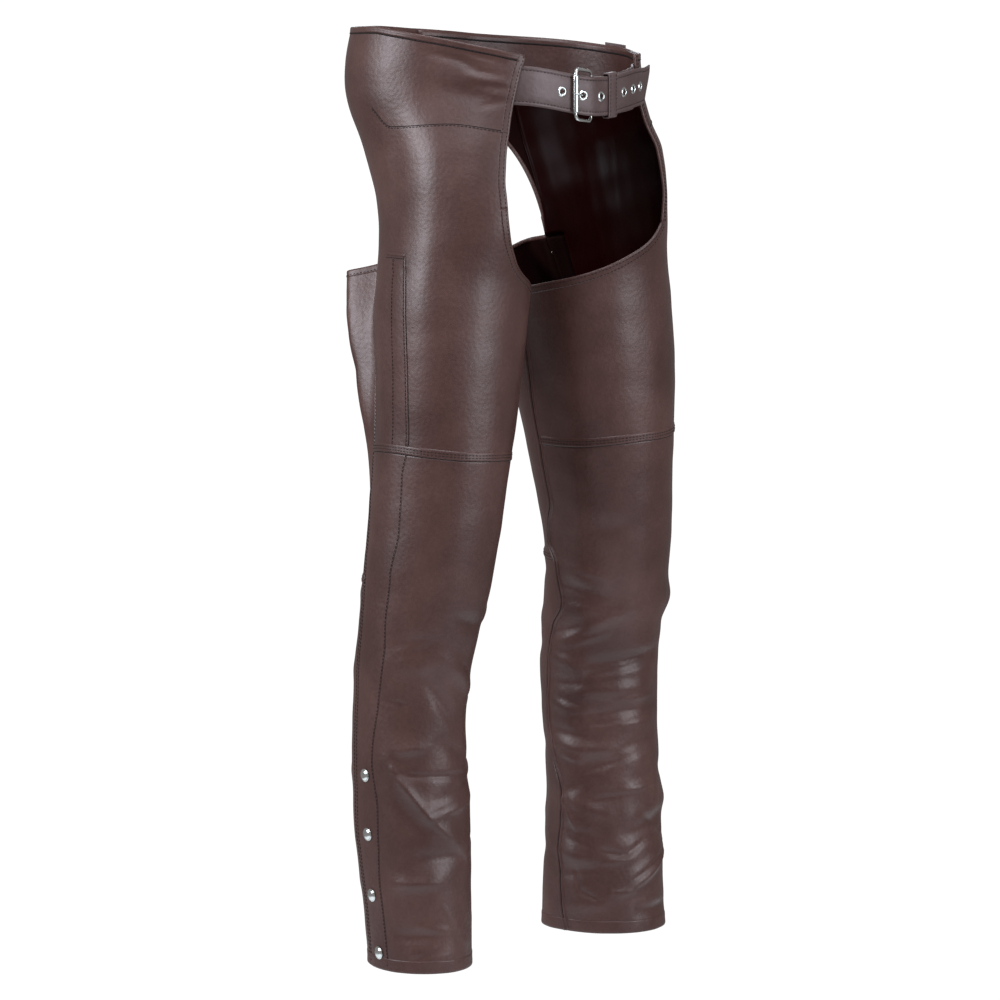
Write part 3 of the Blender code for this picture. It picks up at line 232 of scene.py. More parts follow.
HIP_ANGLES = (9, 15, 25, 37, 50, 64, 79, 95, 111, 128, 146, 163)
HIP_BACK_ANGLES = (164.4, 167, 172, 180, 190, 202, 214)
CROTCH_ANGLES = (-104, -92, -79, -65, -50, -34, -19, -7, 3)
BACK_TOP_ANGLES = (163, 168, 175, 185, 197, 211, 226, 241, 256)
FRONT_ANGLES = CROTCH_ANGLES + HIP_ANGLES
FACING_SHARE = 0.31       # part of the hip's height that the waist facing covers
LEAN_END = 60.0           # angle where a hip's columns stop leaning with its front edge
SEAM_TILT = 0.0085        # how far the thigh seam rises towards the outer side

# the same behind the side opening, by angle
BACK_FACING = ((163, 0.31), (164.4, 0.37), (167, 0.47), (172, 0.58), (180, 0.68), (190, 0.73), (202, 0.78),
               (214, 0.82))
THIGH_ROWS = 10
LEG_ROWS = 25
LAST_ROW = THIGH_ROWS + LEG_ROWS
BACK_SEAM_ROW = 16
LINING_ROWS = 8
HEM = {"right": -1.020, "left": -1.022}
THIGH_SEAM = {"right": -0.450, "left": -0.446}


def smooth_step(low, high, value):
    """Ease from nought at low to one at high."""
    t = np.clip((value - low) / (high - low), 0.0, 1.0)
    return t * t * (3.0 - 2.0 * t)


def hermite(t, step, first, last, slope_first, slope_last):
    """Cubic between two values with the given slopes."""
    t2 = t * t
    t3 = t2 * t
    return ((2 * t3 - 3 * t2 + 1) * first + (t3 - 2 * t2 + t) * step * slope_first
            + (-2 * t3 + 3 * t2) * last + (t3 - t2) * step * slope_last)


def through(xs, ys, slope, value):
    """Curve through points with the given slopes, level past its ends."""
    x = np.clip(np.asarray(value, float), xs[0], xs[-1])
    k = np.clip(np.searchsorted(xs, x, side="right") - 1, 0, len(xs) - 2)
    step = xs[k + 1] - xs[k]
    return hermite((x - xs[k]) / step, step, ys[k], ys[k + 1], slope[k], slope[k + 1])


def along(pairs, value):
    """Value of a short table of pairs, with a soft curve through its points."""
    table = sorted(pairs)
    xs = np.array([row[0] for row in table], float)
    ys = np.array([row[1] for row in table], float)
    rise = np.diff(ys) / np.diff(xs)
    slope = np.zeros(len(xs))
    slope[0] = rise[0]
    slope[-1] = rise[-1]
    for k in range(1, len(xs) - 1):
        if rise[k - 1] * rise[k] > 0:
            slope[k] = 2 * rise[k - 1] * rise[k] / (rise[k - 1] + rise[k])
    return through(xs, ys, slope, value)


def section_at(side, z):
    """Rows of the section table at the given heights, in metres and degrees."""
    table = np.array(SECTIONS[side], float)
    table[:, :-1] *= MM
    depth = -table[:, 0]
    value = table[:, 1:]
    slope = np.empty_like(value)
    slope[1:-1] = (value[2:] - value[:-2]) / (depth[2:] - depth[:-2])[:, None]
    slope[0] = (value[1] - value[0]) / (depth[1] - depth[0])
    slope[-1] = (value[-1] - value[-2]) / (depth[-1] - depth[-2])
    q = np.clip(-z, depth[0], depth[-1] - 1e-9)
    k = np.clip(np.searchsorted(depth, q, side="right") - 1, 0, len(depth) - 2)
    step = depth[k + 1] - depth[k]
    t = (q - depth[k]) / step
    return hermite(t[..., None], step[..., None], value[k], value[k + 1], slope[k], slope[k + 1])


def radius_at(section, theta):
    """Radius of a section at each angle, periodic over the turn."""
    columns = [section[..., k] for k in range(2, 11)]
    inner, front_inner, front, front_outer, outer, opening, behind, back, back_inner = columns
    turn = section[..., TURN]
    zero = 0.0 * turn
    angle = np.stack([zero - 155, zero - 122, zero - 90, zero - 45, zero, zero + 45, zero + 88, turn,
                      (turn + 205) / 2, zero + 205, zero + 238, zero + 270, zero + 315], -1)
    value = np.stack([back, back_inner, inner, front_inner, front, front_outer, outer, opening,
                      behind, back, back_inner, inner, front_inner], -1)
    slope = np.zeros_like(value)
    slope[..., 1:-1] = (value[..., 2:] - value[..., :-2]) / (angle[..., 2:] - angle[..., :-2])
    result = np.zeros(theta.shape)
    for k in range(1, 11):
        low = angle[..., k]
        high = angle[..., k + 1]
        here = (theta >= low) & (theta < high)
        t = np.clip((theta - low) / (high - low), 0.0, 1.0)
        bend = hermite(t, high - low, value[..., k], value[..., k + 1], slope[..., k], slope[..., k + 1])
        result = np.where(here, bend, result)
    return result


def fold_rise(folds, theta, z, least):
    """Sum of a fold table's soft ridges and troughs, in metres."""
    total = np.zeros(theta.shape)
    scale = math.radians(FOLD_RADIUS)
    px = theta * scale
    pz = z * 1000.0
    for angle_a, z_a, angle_b, z_b, rise, half_width in folds:
        width = max(half_width, least)
        reach = 3.2 * width
        near = (pz > min(z_a, z_b) - reach) & (pz < max(z_a, z_b) + reach)
        if not near.any():
            continue
        for turn in (-360.0, 0.0, 360.0):
            ax = (angle_a + turn) * scale
            bx = (angle_b + turn) * scale
            dx = bx - ax
            dz = z_b - z_a
            t = np.clip(((px[near] - ax) * dx + (pz[near] - z_a) * dz) / (dx * dx + dz * dz), 0.0, 1.0)
            gap = np.hypot(px[near] - ax - t * dx, pz[near] - z_a - t * dz)
            taper = 0.45 + 0.55 * np.sin(math.pi * t)
            total[near] += taper * rise * np.exp(-(gap / width) ** 2)
    return total * MM


def drift(theta, z):
    """Slow unevenness of soft leather, in metres."""
    a = np.radians(theta)
    wave = (np.sin(3.1 * a + 37.0 * z + 0.7) * np.sin(29.0 * z - 1.7 * a)
            + 0.6 * np.sin(6.3 * a - 61.0 * z + 2.0) * np.sin(5.1 * a + 43.0 * z)
            + 0.35 * np.sin(11.0 * a + 97.0 * z) * np.sin(83.0 * z - 7.0 * a + 1.1))
    return 0.45 * MM * wave


def surface(side, theta, z, least=0.0):
    """Points of a leg's outer surface; least is the narrowest fold taken."""
    theta, z = np.broadcast_arrays(np.asarray(theta, float), np.asarray(z, float))
    section = section_at(side, z)
    radius = radius_at(section, theta) + fold_rise(FOLDS[side], theta, z, least)
    if least == 0.0:
        radius = radius + drift(theta, z) + CREASE_DEPTH * fold_rise(CREASES[side], theta, z, least)
    turn = np.radians(theta)
    past = (theta - section[..., TURN]) / (LAST_BACK - section[..., TURN])
    stand = along(FLARE[side], z * 1000.0) / 1000.0
    swell = smooth_step(0.0, 0.16, past) * (1 - smooth_step(0.2, 0.85, past))
    stand = stand * np.where(past > 0, swell, 0.0)
    stand = np.where(z > -0.2, 0.0, stand)
    x = section[..., 0] + radius * np.sin(turn) + stand * math.sin(FLARE_DIRECTION)
    y = section[..., 1] - radius * np.cos(turn) - stand * math.cos(FLARE_DIRECTION)
    return np.stack([SIDES[side] * x, y, z], -1)


def unit(vectors):
    """Vectors of length one."""
    return vectors / np.maximum(np.linalg.norm(vectors, axis=-1, keepdims=True), 1e-12)


def face(side, theta, z):
    """Points, slopes along angle and height, and outward normals."""
    turn_step = 0.4
    rise_step = 0.0005
    point = surface(side, theta, z)
    to_theta = (surface(side, theta + turn_step, z) - surface(side, theta - turn_step, z)) / (2 * turn_step)
    to_z = (surface(side, theta, z + rise_step) - surface(side, theta, z - rise_step)) / (2 * rise_step)
    normal = unit(np.cross(to_theta, to_z)) * SIDES[side]
    return point, to_theta, to_z, normal


def centre_back_angle(side, z):
    """Angle at which a hip reaches the middle of the back."""
    low = np.full(z.shape, 200.0)
    high = np.full(z.shape, 228.0)
    for _ in range(24):
        middle = (low + high) / 2
        outside = surface(side, middle, z)[..., 0] * SIDES[side] > 0
        low = np.where(outside, middle, low)
        high = np.where(outside, high, middle)
    return low


def finer(angles, step):
    """The angles of a list with even ones added between them."""
    result = [float(angles[0])]
    for first, last in zip(angles, angles[1:]):
        count = max(1, math.ceil((last - first) / step))
        result += [first + (last - first) * k / count for k in range(1, count + 1)]
    return np.array(result)


def hip_low_edge(side, base):
    """Height where a hip's own columns end, from the front corner to the side opening."""
    opening_top = BACK_CUT[side][0][1] * MM
    share = (base - FRONT_ANGLE) / (OPENING_ANGLE - FRONT_ANGLE)
    return FRONT_CORNER[side] + share * (opening_top - FRONT_CORNER[side])


def hip_place(side, base, part):
    """Angle and height in the hip, from a column and the share of the way down."""
    base, part = np.broadcast_arrays(np.asarray(base, float), np.asarray(part, float))
    low = np.where(base <= OPENING_ANGLE, hip_low_edge(side, base), along(BACK_CUT[side], base) * MM)
    high = along(WAIST_EDGE[side], base) * MM
    z = high + (low - high) * part
    lean = along(FRONT_EDGE[side], z * 1000.0) - FRONT_ANGLE
    theta = base + np.where(base < LEAN_END, lean * (LEAN_END - base) / (LEAN_END - FRONT_ANGLE), 0.0)
    middle = centre_back_angle(side, z) - CENTRE_BACK
    last = HIP_BACK_ANGLES[-2]
    return theta + middle * np.clip((base - last) / (CENTRE_BACK - last), 0.0, 1.0), z


def leg_place(side, part, base, row):
    """Angle and height in a leg's front or back, from a column and a row."""
    base, row = np.broadcast_arrays(np.asarray(base, float), np.asarray(row, float))
    if part == "front":
        high = np.where(base < FRONT_ANGLE, along(CROTCH_CUT[side], base) * MM, hip_low_edge(side, base))
        seam_angle = base
        even = np.interp(base, FRONT_ANGLES, np.linspace(0, 1, len(FRONT_ANGLES)))
        start = (base - INSIDE_ANGLE) / (OPENING_ANGLE - INSIDE_ANGLE)
    else:
        high = along(BACK_TOP[side], base) * MM
        seam_angle = LAST_BACK + (base - LAST_BACK) * 0.3
        even = np.interp(base, BACK_TOP_ANGLES, np.linspace(0, 1, len(BACK_TOP_ANGLES)))
        start = (base - OPENING_ANGLE) / (LAST_BACK - OPENING_ANGLE)
    seam = THIGH_SEAM[side] + SEAM_TILT * np.cos(np.radians(seam_angle - 100.0))
    blend = np.clip(row / THIGH_ROWS, 0.0, 1.0)
    below = np.clip((row - THIGH_ROWS) / LEG_ROWS, 0.0, 1.0)
    z = np.where(row <= THIGH_ROWS, high + (seam - high) * blend, seam + (HEM[side] - seam) * below)
    share = start + (even - start) * blend
    turn = section_at(side, z)[..., TURN]
    inside = along(INSEAM[side], z * 1000.0)
    if part == "front":
        theta = inside + (turn - inside) * share
    else:
        theta = turn + (inside + 360.0 - turn) * share
    return theta + (base - theta) * np.clip(1.0 - row, 0.0, 1.0), z


def add_object(name, mesh, material, node=None):
    """Link a mesh as a piece of the root body, standing for its CAD node."""
    thing = bpy.data.objects.new(name, mesh)
    bpy.context.scene.collection.objects.link(thing)
    mesh.materials.append(material)
    mesh.shade_smooth()
    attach(thing, "root")
    if node:
        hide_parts(node)
    return thing


def mesh_from(name, vertices, faces, merge=0.0):
    """Mesh with its doubled points merged."""
    mesh = bpy.data.meshes.new(name)
    mesh.from_pydata(np.asarray(vertices).tolist(), [], faces)
    if merge:
        body = bmesh.new()
        body.from_mesh(mesh)
        bmesh.ops.remove_doubles(body, verts=body.verts, dist=merge)
        body.to_mesh(mesh)
        body.free()
    mesh.validate()
    return mesh


def grid_faces(rows, columns, first, flip):
    """Quads of a grid of points, row by row."""
    faces = []
    for i in range(rows - 1):
        for j in range(columns - 1):
            a = first + i * columns + j
            ring = (a, a + 1, a + columns + 1, a + columns)
            faces.append(ring[::-1] if flip else ring)
    return faces


def shell(name, side, places, lift, wall, material, node, extra=None, lined=None):
    """Thin shell over grids of places, lifted off the leather's face, in millimetres."""
    vertices = []
    faces = []
    for theta, z in places:
        point, _, _, normal = face(side, theta, z)
        away = lift * MM
        if extra is not None:
            away = away + extra(theta, z)[..., None]
        grid = point + normal * away
        faces += grid_faces(*theta.shape, len(vertices), SIDES[side] > 0)
        vertices += list(grid.reshape(-1, 3))
    mesh = mesh_from(name, vertices, faces, merge=0.02 * MM)
    thing = add_object(name, mesh, material, node)
    thick = thing.modifiers.new("thickness", "SOLIDIFY")
    thick.thickness = wall * MM
    thick.offset = -1.0
    if lined:
        mesh.materials.append(lined)
        thick.material_offset = 1
    return thing


def beside(side, path, away, lift):
    """Points and normals at a distance beside a path and off the leather, in millimetres.

    Positive is up beside a path of growing angle, and outward round the leg beside
    a path that runs down.
    """
    theta, z = path
    point, to_theta, to_z, normal = face(side, theta, z)
    ahead = unit(np.gradient(point, axis=0))
    push = np.cross(normal, ahead) * SIDES[side] * away * MM
    aa = (to_theta * to_theta).sum(-1)
    ab = (to_theta * to_z).sum(-1)
    bb = (to_z * to_z).sum(-1)
    pa = (push * to_theta).sum(-1)
    pb = (push * to_z).sum(-1)
    both = aa * bb - ab * ab
    moved_theta = theta + (pa * bb - pb * ab) / both
    moved_z = z + (pb * aa - pa * ab) / both
    point, _, _, normal = face(side, moved_theta, moved_z)
    return point + normal * lift * MM, normal


def spaced(path, side, step):
    """A path with even points, step millimetres apart on the leather."""
    theta, z = path
    point = surface(side, theta, z)
    length = np.concatenate([[0.0], np.cumsum(np.linalg.norm(np.diff(point, axis=0), axis=1))])
    count = max(2, int(round(length[-1] / (step * MM))) + 1)
    even = np.linspace(0.0, length[-1], count)
    return np.interp(even, length, theta), np.interp(even, length, z)


def loft(name, rings, material, node=None, closed=False, sharp=True):
    """Closed piece over rings of points, each joined to the next."""
    rings = np.asarray(rings)
    count, size = rings.shape[:2]
    faces = []
    for k in range(count if closed else count - 1):
        a = k * size
        b = (k + 1) % count * size
        for n in range(size):
            m = (n + 1) % size
            faces.append((a + n, b + n, b + m, a + m))
    if not closed:
        faces.append(tuple(range(size)))
        faces.append(tuple((count - 1) * size + n for n in reversed(range(size))))
    mesh = mesh_from(name, rings.reshape(-1, 3), faces)
    body = bmesh.new()
    body.from_mesh(mesh)
    bmesh.ops.recalc_face_normals(body, faces=body.faces)
    body.to_mesh(mesh)
    body.free()
    thing = add_object(name, mesh, material, node)
    if sharp:
        mesh.set_sharp_from_angle(angle=math.radians(48))
    return thing


def ribbon(name, side, path, profile, material, step=3.0):
    """Closed strip along a path; profile rows are distance beside it and lift."""
    path = spaced(path, side, step)
    loops = [beside(side, path, away, lift)[0] for away, lift in profile]
    return loft(name, np.stack(loops, 1), material, sharp=False)


STITCH = 3.2              # length of a stitch that shows
STITCH_PITCH = 4.2
THREAD = 0.42             # half thickness of the thread
# share of the way along a stitch, its thickness there and its height in the leather
STITCH_RINGS = ((-0.5, 0.35, -0.35), (-0.3, 0.95, 0.1), (0.3, 0.95, 0.1), (0.5, 0.35, -0.35))


def stitch_row(points, normals):
    """Vertices and faces of short threads along a line of points."""
    length = np.concatenate([[0.0], np.cumsum(np.linalg.norm(np.diff(points, axis=0), axis=1))])
    count = int(length[-1] / (STITCH_PITCH * MM))
    vertices = []
    faces = []
    for k in range(count):
        middle = (k + 0.5) * length[-1] / count
        rings = []
        for share, swell, height in STITCH_RINGS:
            station = middle + share * STITCH * MM
            centre = np.array([np.interp(station, length, points[:, c]) for c in range(3)])
            up = unit(np.array([np.interp(station, length, normals[:, c]) for c in range(3)]))
            rings.append((centre + up * height * MM, up, swell * THREAD * MM))
        ahead = unit(rings[-1][0] - rings[0][0])
        first = len(vertices)
        for centre, up, radius in rings:
            across = unit(np.cross(ahead, up))
            for a, b in ((1, 0), (0, 1), (-1, 0), (0, -1)):
                vertices.append(centre + across * radius * a + up * radius * b)
        for ring in range(first, first + 12, 4):
            for n in range(4):
                m = (n + 1) % 4
                faces.append((ring + n, ring + m, ring + 4 + m, ring + 4 + n))
        faces.append((first, first + 1, first + 2, first + 3))
        faces.append((first + 15, first + 14, first + 13, first + 12))
    return vertices, faces


def stitching(name, lines, material):
    """One piece from several stitched lines of points and normals."""
    vertices = []
    faces = []
    for points, normals in lines:
        some, rings = stitch_row(points, normals)
        faces += [tuple(k + len(vertices) for k in ring) for ring in rings]
        vertices += some
    return add_object(name, mesh_from(name, vertices, faces), material)


def new_material(name):
    """Material with its node tree, its shader and the place on the object."""
    material = bpy.data.materials.new(name)
    material.use_nodes = True
    tree = material.node_tree
    place = tree.nodes.new("ShaderNodeTexCoord").outputs["Object"]
    return material, tree, tree.nodes["Principled BSDF"], place


def texture(tree, kind, place, **sockets):
    """Texture over the object, with values for its sockets."""
    node = tree.nodes.new("ShaderNodeTex" + kind)
    for socket, value in sockets.items():
        node.inputs[socket].default_value = value
    tree.links.new(place, node.inputs["Vector"])
    return node


def between(tree, value, low, high, first=0.0, last=1.0):
    """Runs from low to high while the value runs from first to last."""
    node = tree.nodes.new("ShaderNodeMapRange")
    node.inputs["From Min"].default_value = first
    node.inputs["From Max"].default_value = last
    node.inputs["To Min"].default_value = low
    node.inputs["To Max"].default_value = high
    tree.links.new(value, node.inputs["Value"])
    return node.outputs["Result"]


def tones(tree, share, dark, light):
    """Colour between two tones."""
    node = tree.nodes.new("ShaderNodeMix")
    node.data_type = "RGBA"
    node.inputs[6].default_value = (*dark, 1.0)
    node.inputs[7].default_value = (*light, 1.0)
    tree.links.new(share, node.inputs[0])
    return node.outputs[2]


def bump(tree, height, strength, distance, under=None):
    """Fine relief, over another one where it is given."""
    node = tree.nodes.new("ShaderNodeBump")
    node.inputs["Strength"].default_value = strength
    node.inputs["Distance"].default_value = distance
    tree.links.new(height, node.inputs["Height"])
    if under:
        tree.links.new(under, node.inputs["Normal"])
    return node.outputs["Normal"]


def leather(name, dark, light, rough):
    """Grained, softly glossy leather."""
    material, tree, shader, place = new_material(name)
    shader.inputs["Specular IOR Level"].default_value = 0.5
    shader.inputs["Specular Tint"].default_value = (1.0, 0.86, 0.86, 1.0)
    cloud = texture(tree, "Noise", place, Scale=11.0, Detail=5.0, Roughness=0.6).outputs["Fac"]
    speck = texture(tree, "Noise", place, Scale=260.0, Detail=3.0).outputs["Fac"]
    pores = texture(tree, "Voronoi", place, Scale=620.0)
    pores.feature = "DISTANCE_TO_EDGE"
    pebble = texture(tree, "Voronoi", place, Scale=240.0)
    pebble.feature = "SMOOTH_F1"
    fleck = tree.nodes.new("ShaderNodeMix")
    fleck.data_type = "RGBA"
    fleck.blend_type = "MULTIPLY"
    fleck.inputs[0].default_value = 0.35
    cloudy = tones(tree, between(tree, cloud, 0.0, 1.0, 0.36, 0.66), dark, light)
    tree.links.new(cloudy, fleck.inputs[6])
    tree.links.new(between(tree, speck, 0.72, 1.15, 0.3, 0.7), fleck.inputs[7])
    tree.links.new(fleck.outputs[2], shader.inputs["Base Color"])
    tree.links.new(between(tree, speck, rough - 0.05, rough + 0.09), shader.inputs["Roughness"])
    fine = bump(tree, pores.outputs["Distance"], 0.5, 0.00022)
    broad = bump(tree, pebble.outputs["Distance"], 0.35, 0.0006, fine)
    tree.links.new(broad, shader.inputs["Normal"])
    return material


def satin(name, dark, light):
    """Almost black satin with a faint gleam; its base colour is darker still, as painted shade of the
    hollow inside.
    """
    material, tree, shader, place = new_material(name)
    shader.inputs["Specular IOR Level"].default_value = 0.06
    stretch = tree.nodes.new("ShaderNodeMapping")
    stretch.inputs["Scale"].default_value = (900.0, 900.0, 60.0)
    tree.links.new(place, stretch.inputs["Vector"])
    thread = texture(tree, "Noise", stretch.outputs["Vector"], Scale=1.0, Detail=2.0).outputs["Fac"]
    tree.links.new(tones(tree, thread, dark, light), shader.inputs["Base Color"])
    tree.links.new(between(tree, thread, 0.3, 0.42), shader.inputs["Roughness"])
    tree.links.new(bump(tree, thread, 0.15, 0.0001), shader.inputs["Normal"])
    return material


def metal(name, colour, rough):
    """Polished metal with faint handling marks."""
    material, tree, shader, place = new_material(name)
    shader.inputs["Metallic"].default_value = 1.0
    marks = texture(tree, "Noise", place, Scale=320.0, Detail=4.0).outputs["Fac"]
    worn = [0.82 * part for part in colour]
    tree.links.new(tones(tree, marks, worn, colour), shader.inputs["Base Color"])
    tree.links.new(between(tree, marks, rough * 0.7, rough * 1.5), shader.inputs["Roughness"])
    return material


def thread_material(name, colour, gleam=0.2):
    """Matt sewing thread, tape, or near-black painted shade laid in a crease."""
    material, tree, shader, place = new_material(name)
    shader.inputs["Specular IOR Level"].default_value = gleam
    shader.inputs["Roughness"].default_value = 0.75
    twist = texture(tree, "Noise", place, Scale=1500.0).outputs["Fac"]
    dim = [0.7 * part for part in colour]
    tree.links.new(tones(tree, twist, dim, colour), shader.inputs["Base Color"])
    return material


HIDE = leather("brown_leather", (0.040, 0.0135, 0.0100), (0.066, 0.0265, 0.0210), rough=0.42)
STRAP_HIDE = leather("strap_leather", (0.058, 0.030, 0.028), (0.098, 0.062, 0.062), rough=0.45)
# black satin, its tones darkened further as painted shade inside the hollow legs
SATIN = satin("black_satin", (0.0065, 0.0001, 0.0001), (0.0110, 0.0005, 0.0004))
NICKEL = metal("nickel", (0.66, 0.65, 0.63), 0.20)
THREAD_BROWN = thread_material("brown_thread", (0.020, 0.010, 0.009))
# painted shade: near-black matt colour for thin strips laid in creases, grooves and under lapped steps
CREASE_SHADE = thread_material("painted_crease_shade", (0.008, 0.003, 0.003))
# near-black colour on the inner faces of the leather pieces
INNER_FACE = thread_material("dark_inner_face", (0.0085, 0.0008, 0.0006), gleam=0.04)
TAPE = thread_material("black_tape", (0.0070, 0.0008, 0.0006), gleam=0.04)


def satin_waves(theta, z):
    """Loose folds of the lining, always away from the leather, in metres."""
    a = np.radians(theta)
    wave = np.sin(7.0 * a + 90.0 * z) * np.sin(60.0 * z - 3.0 * a + 0.8)
    wave = wave + 0.7 * np.sin(15.0 * a - 70.0 * z + 1.0) * np.sin(33.0 * z + 9.0 * a)
    return -0.0009 * (1.0 + 0.6 * wave)


def edge_profile(width, inward):
    """Turned edge: leather rolled over a cut edge, half as wide on the inner face."""
    rows = [(width, -0.3), (width - 0.5, 0.3), (width - 2.0, 0.5), (width * 0.5, 0.35), (2.2, 0.6),
            (0.6, 0.55), (-0.3, 0.1), (-0.7, -0.7), (-0.6, -1.6), (0.0, -2.3), (1.2, -2.7),
            (width * 0.35, -2.6), (width * 0.45, -2.4), (width * 0.5, -1.2)]
    return [(inward * away, lift) for away, lift in rows]


# strips along seams and edges: distance beside the path and lift, in millimetres
LAP = ((9.6, -0.9), (9.4, 0.0), (8.4, 0.55), (7.0, 0.75), (5.8, 0.6), (4.2, 0.95), (2.8, 0.8), (1.4, 1.15),
       (0.2, 1.1), (-0.35, 0.7), (-0.4, 0.1), (-0.3, -0.9))
# LINE_CREASE, STEP_CREASE, FINE_CREASE, RIM_CREASE, INNER_RIM and INSEAM_CREASE shape thin strips of
# painted shade: near-black colour along seam creases and grooves, and the shadow under lapped steps and the
# waist rim
LINE_CREASE = ((-0.55, -0.3), (-0.45, 0.07), (0.0, 0.1), (0.45, 0.07), (0.55, -0.3))
STEP_CREASE = ((-1.5, -0.5), (-1.2, 0.1), (-0.5, 0.16), (-0.3, 0.2), (-0.3, -0.5))
ROLLED = ((-5.2, -0.8), (-4.6, 0.3), (-3.4, 1.3), (-2.3, 1.6), (-1.2, 1.2), (-0.5, 0.5), (0.0, 0.3),
          (0.5, 0.6), (1.3, 1.3), (2.4, 1.6), (3.5, 1.2), (4.5, 0.2), (5.0, -0.8))
PLACKET_LAP = ((4.2, -0.6), (4.0, 0.1), (3.0, 0.5), (1.6, 0.6), (0.3, 0.65), (-0.25, 0.4), (-0.3, -0.6))
FINE_CREASE = ((-0.35, -0.3), (-0.3, 0.05), (0.0, 0.08), (0.3, 0.05), (0.35, -0.3))
RIM_CREASE = ((-7.6, -0.3), (-7.4, 0.08), (-6.6, 0.14), (-5.9, 0.32), (-5.6, -0.2))
INNER_RIM = ((-8.6, -3.0), (-8.5, -3.42), (-7.4, -3.48), (-6.3, -3.42), (-6.2, -3.0))
INSEAM_CREASE = ((-0.8, 0.2), (-0.6, 0.62), (0.0, 0.66), (0.6, 0.84), (0.8, 0.2))

# the yoke seam across the hip, by the share of the way along it, and the
# angle of the flap's inner edge and of the seam below it, by height
YOKE_ANGLE = ((0.0, 98), (0.17, 83), (0.62, 41), (1.0, 11))
YOKE_HEIGHT = ((0.0, -68), (0.17, -88), (0.62, -84), (1.0, -92))
PLACKET_TOP = -228
PLACKET_FOOT = -434
LOW_SEAM_FOOT = -1016
PLACKET = ((-228, 67.5), (-274, 65.8), (-339, 65.6), (-405, 67), (-434, 68.5), (-468, 74), (-530, 74),
           (-574, 79), (-616, 79), (-670, 74), (-718, 75), (-788, 83), (-836, 77), (-878, 78), (-920, 81),
           (-960, 80), (-1020, 77))


def line_of(side, path, away, lift=0.25):
    """Points and normals of a stitched line beside a path."""
    return beside(side, spaced(path, side, 2.0), away, lift)


def rows_between(first, last, count):
    """Even rows of a grid, as a column."""
    return np.linspace(first, last, count)[:, None]


def build_leg(side):
    """Leather, facing, lining and tape of one hip and leg, then its sewing."""
    hip_base = finer(HIP_ANGLES + HIP_BACK_ANGLES, 1.7)
    front_base = finer(FRONT_ANGLES, 1.7)
    lower_base = finer(FRONT_ANGLES, 2.4)
    back_base = finer(BACK_TOP_ANGLES, 1.8)
    hip = hip_place(side, hip_base[None, :], rows_between(0, 1, 66))
    thigh = leg_place(side, "front", front_base[None, :], rows_between(0, THIGH_ROWS, 71))
    lower = leg_place(side, "front", lower_base[None, :], rows_between(THIGH_ROWS, LAST_ROW, 196))
    upper_back = leg_place(side, "back", back_base[None, :], rows_between(0, BACK_SEAM_ROW, 101))
    calf_back = leg_place(side, "back", back_base[None, :], rows_between(BACK_SEAM_ROW, LAST_ROW, 146))
    outer_pieces = (("hip", "_hip_leather", "_hip_panel", [hip, thigh]),
                    ("lower_front", "_lower_front_leather", "_lower_front", [lower]),
                    ("thigh_back", "_thigh_back_leather", "_thigh_back", [upper_back]),
                    ("calf_back", "_calf_back_leather", "_calf_back", [calf_back]))
    for cut, name, node, places in outer_pieces:
        shell(side + name, side, places, 0, LEATHER, HIDE, side + node, lined=INNER_FACE)
    facing_base = finer((15,) + HIP_ANGLES[2:] + HIP_BACK_ANGLES, 3.0)
    covered = np.where(facing_base <= OPENING_ANGLE, FACING_SHARE, along(BACK_FACING, facing_base))
    facing = hip_place(side, facing_base[None, :], rows_between(0.012, 1, 24) * covered[None, :])
    shell(side + "_waist_band", side, [facing], FACING_LIFT, FACING_WALL, HIDE,
                  side + "_waist_facing")
    lining_base = finer(HIP_ANGLES[1:], 3.0)
    lining_top = hip_place(side, lining_base[None, :], rows_between(FACING_SHARE, 1, 40))
    lining_low_base = finer(CROTCH_ANGLES + HIP_ANGLES[:-1], 3.0)
    lining_low = leg_place(side, "front", lining_low_base[None, :], rows_between(1, LINING_ROWS, 40))
    lining_join_base = finer(HIP_ANGLES[1:-1], 3.0)
    lining_join = leg_place(side, "front", lining_join_base[None, :], rows_between(0, 1, 7))
    lining = [lining_top, lining_join, lining_low]
    shell(side + "_satin_lining", side, lining, LINING_LIFT, SATIN_WALL, SATIN,
                  side + "_hip_lining", satin_waves)
    rows = rows_between(0.15, LAST_ROW - 1, 268)
    tape_front = leg_place(side, "front", finer((HIP_ANGLES[-2], OPENING_ANGLE), 4.0)[None, :], rows)
    tape_back = leg_place(side, "back", finer(BACK_TOP_ANGLES[:2], 2.5)[None, :], rows)
    shell(side + "_zip_band", side, [tape_front, tape_back], FACING_LIFT, TAPE_WALL, TAPE,
                  side + "_zip_tape")
    sew_leg(side)


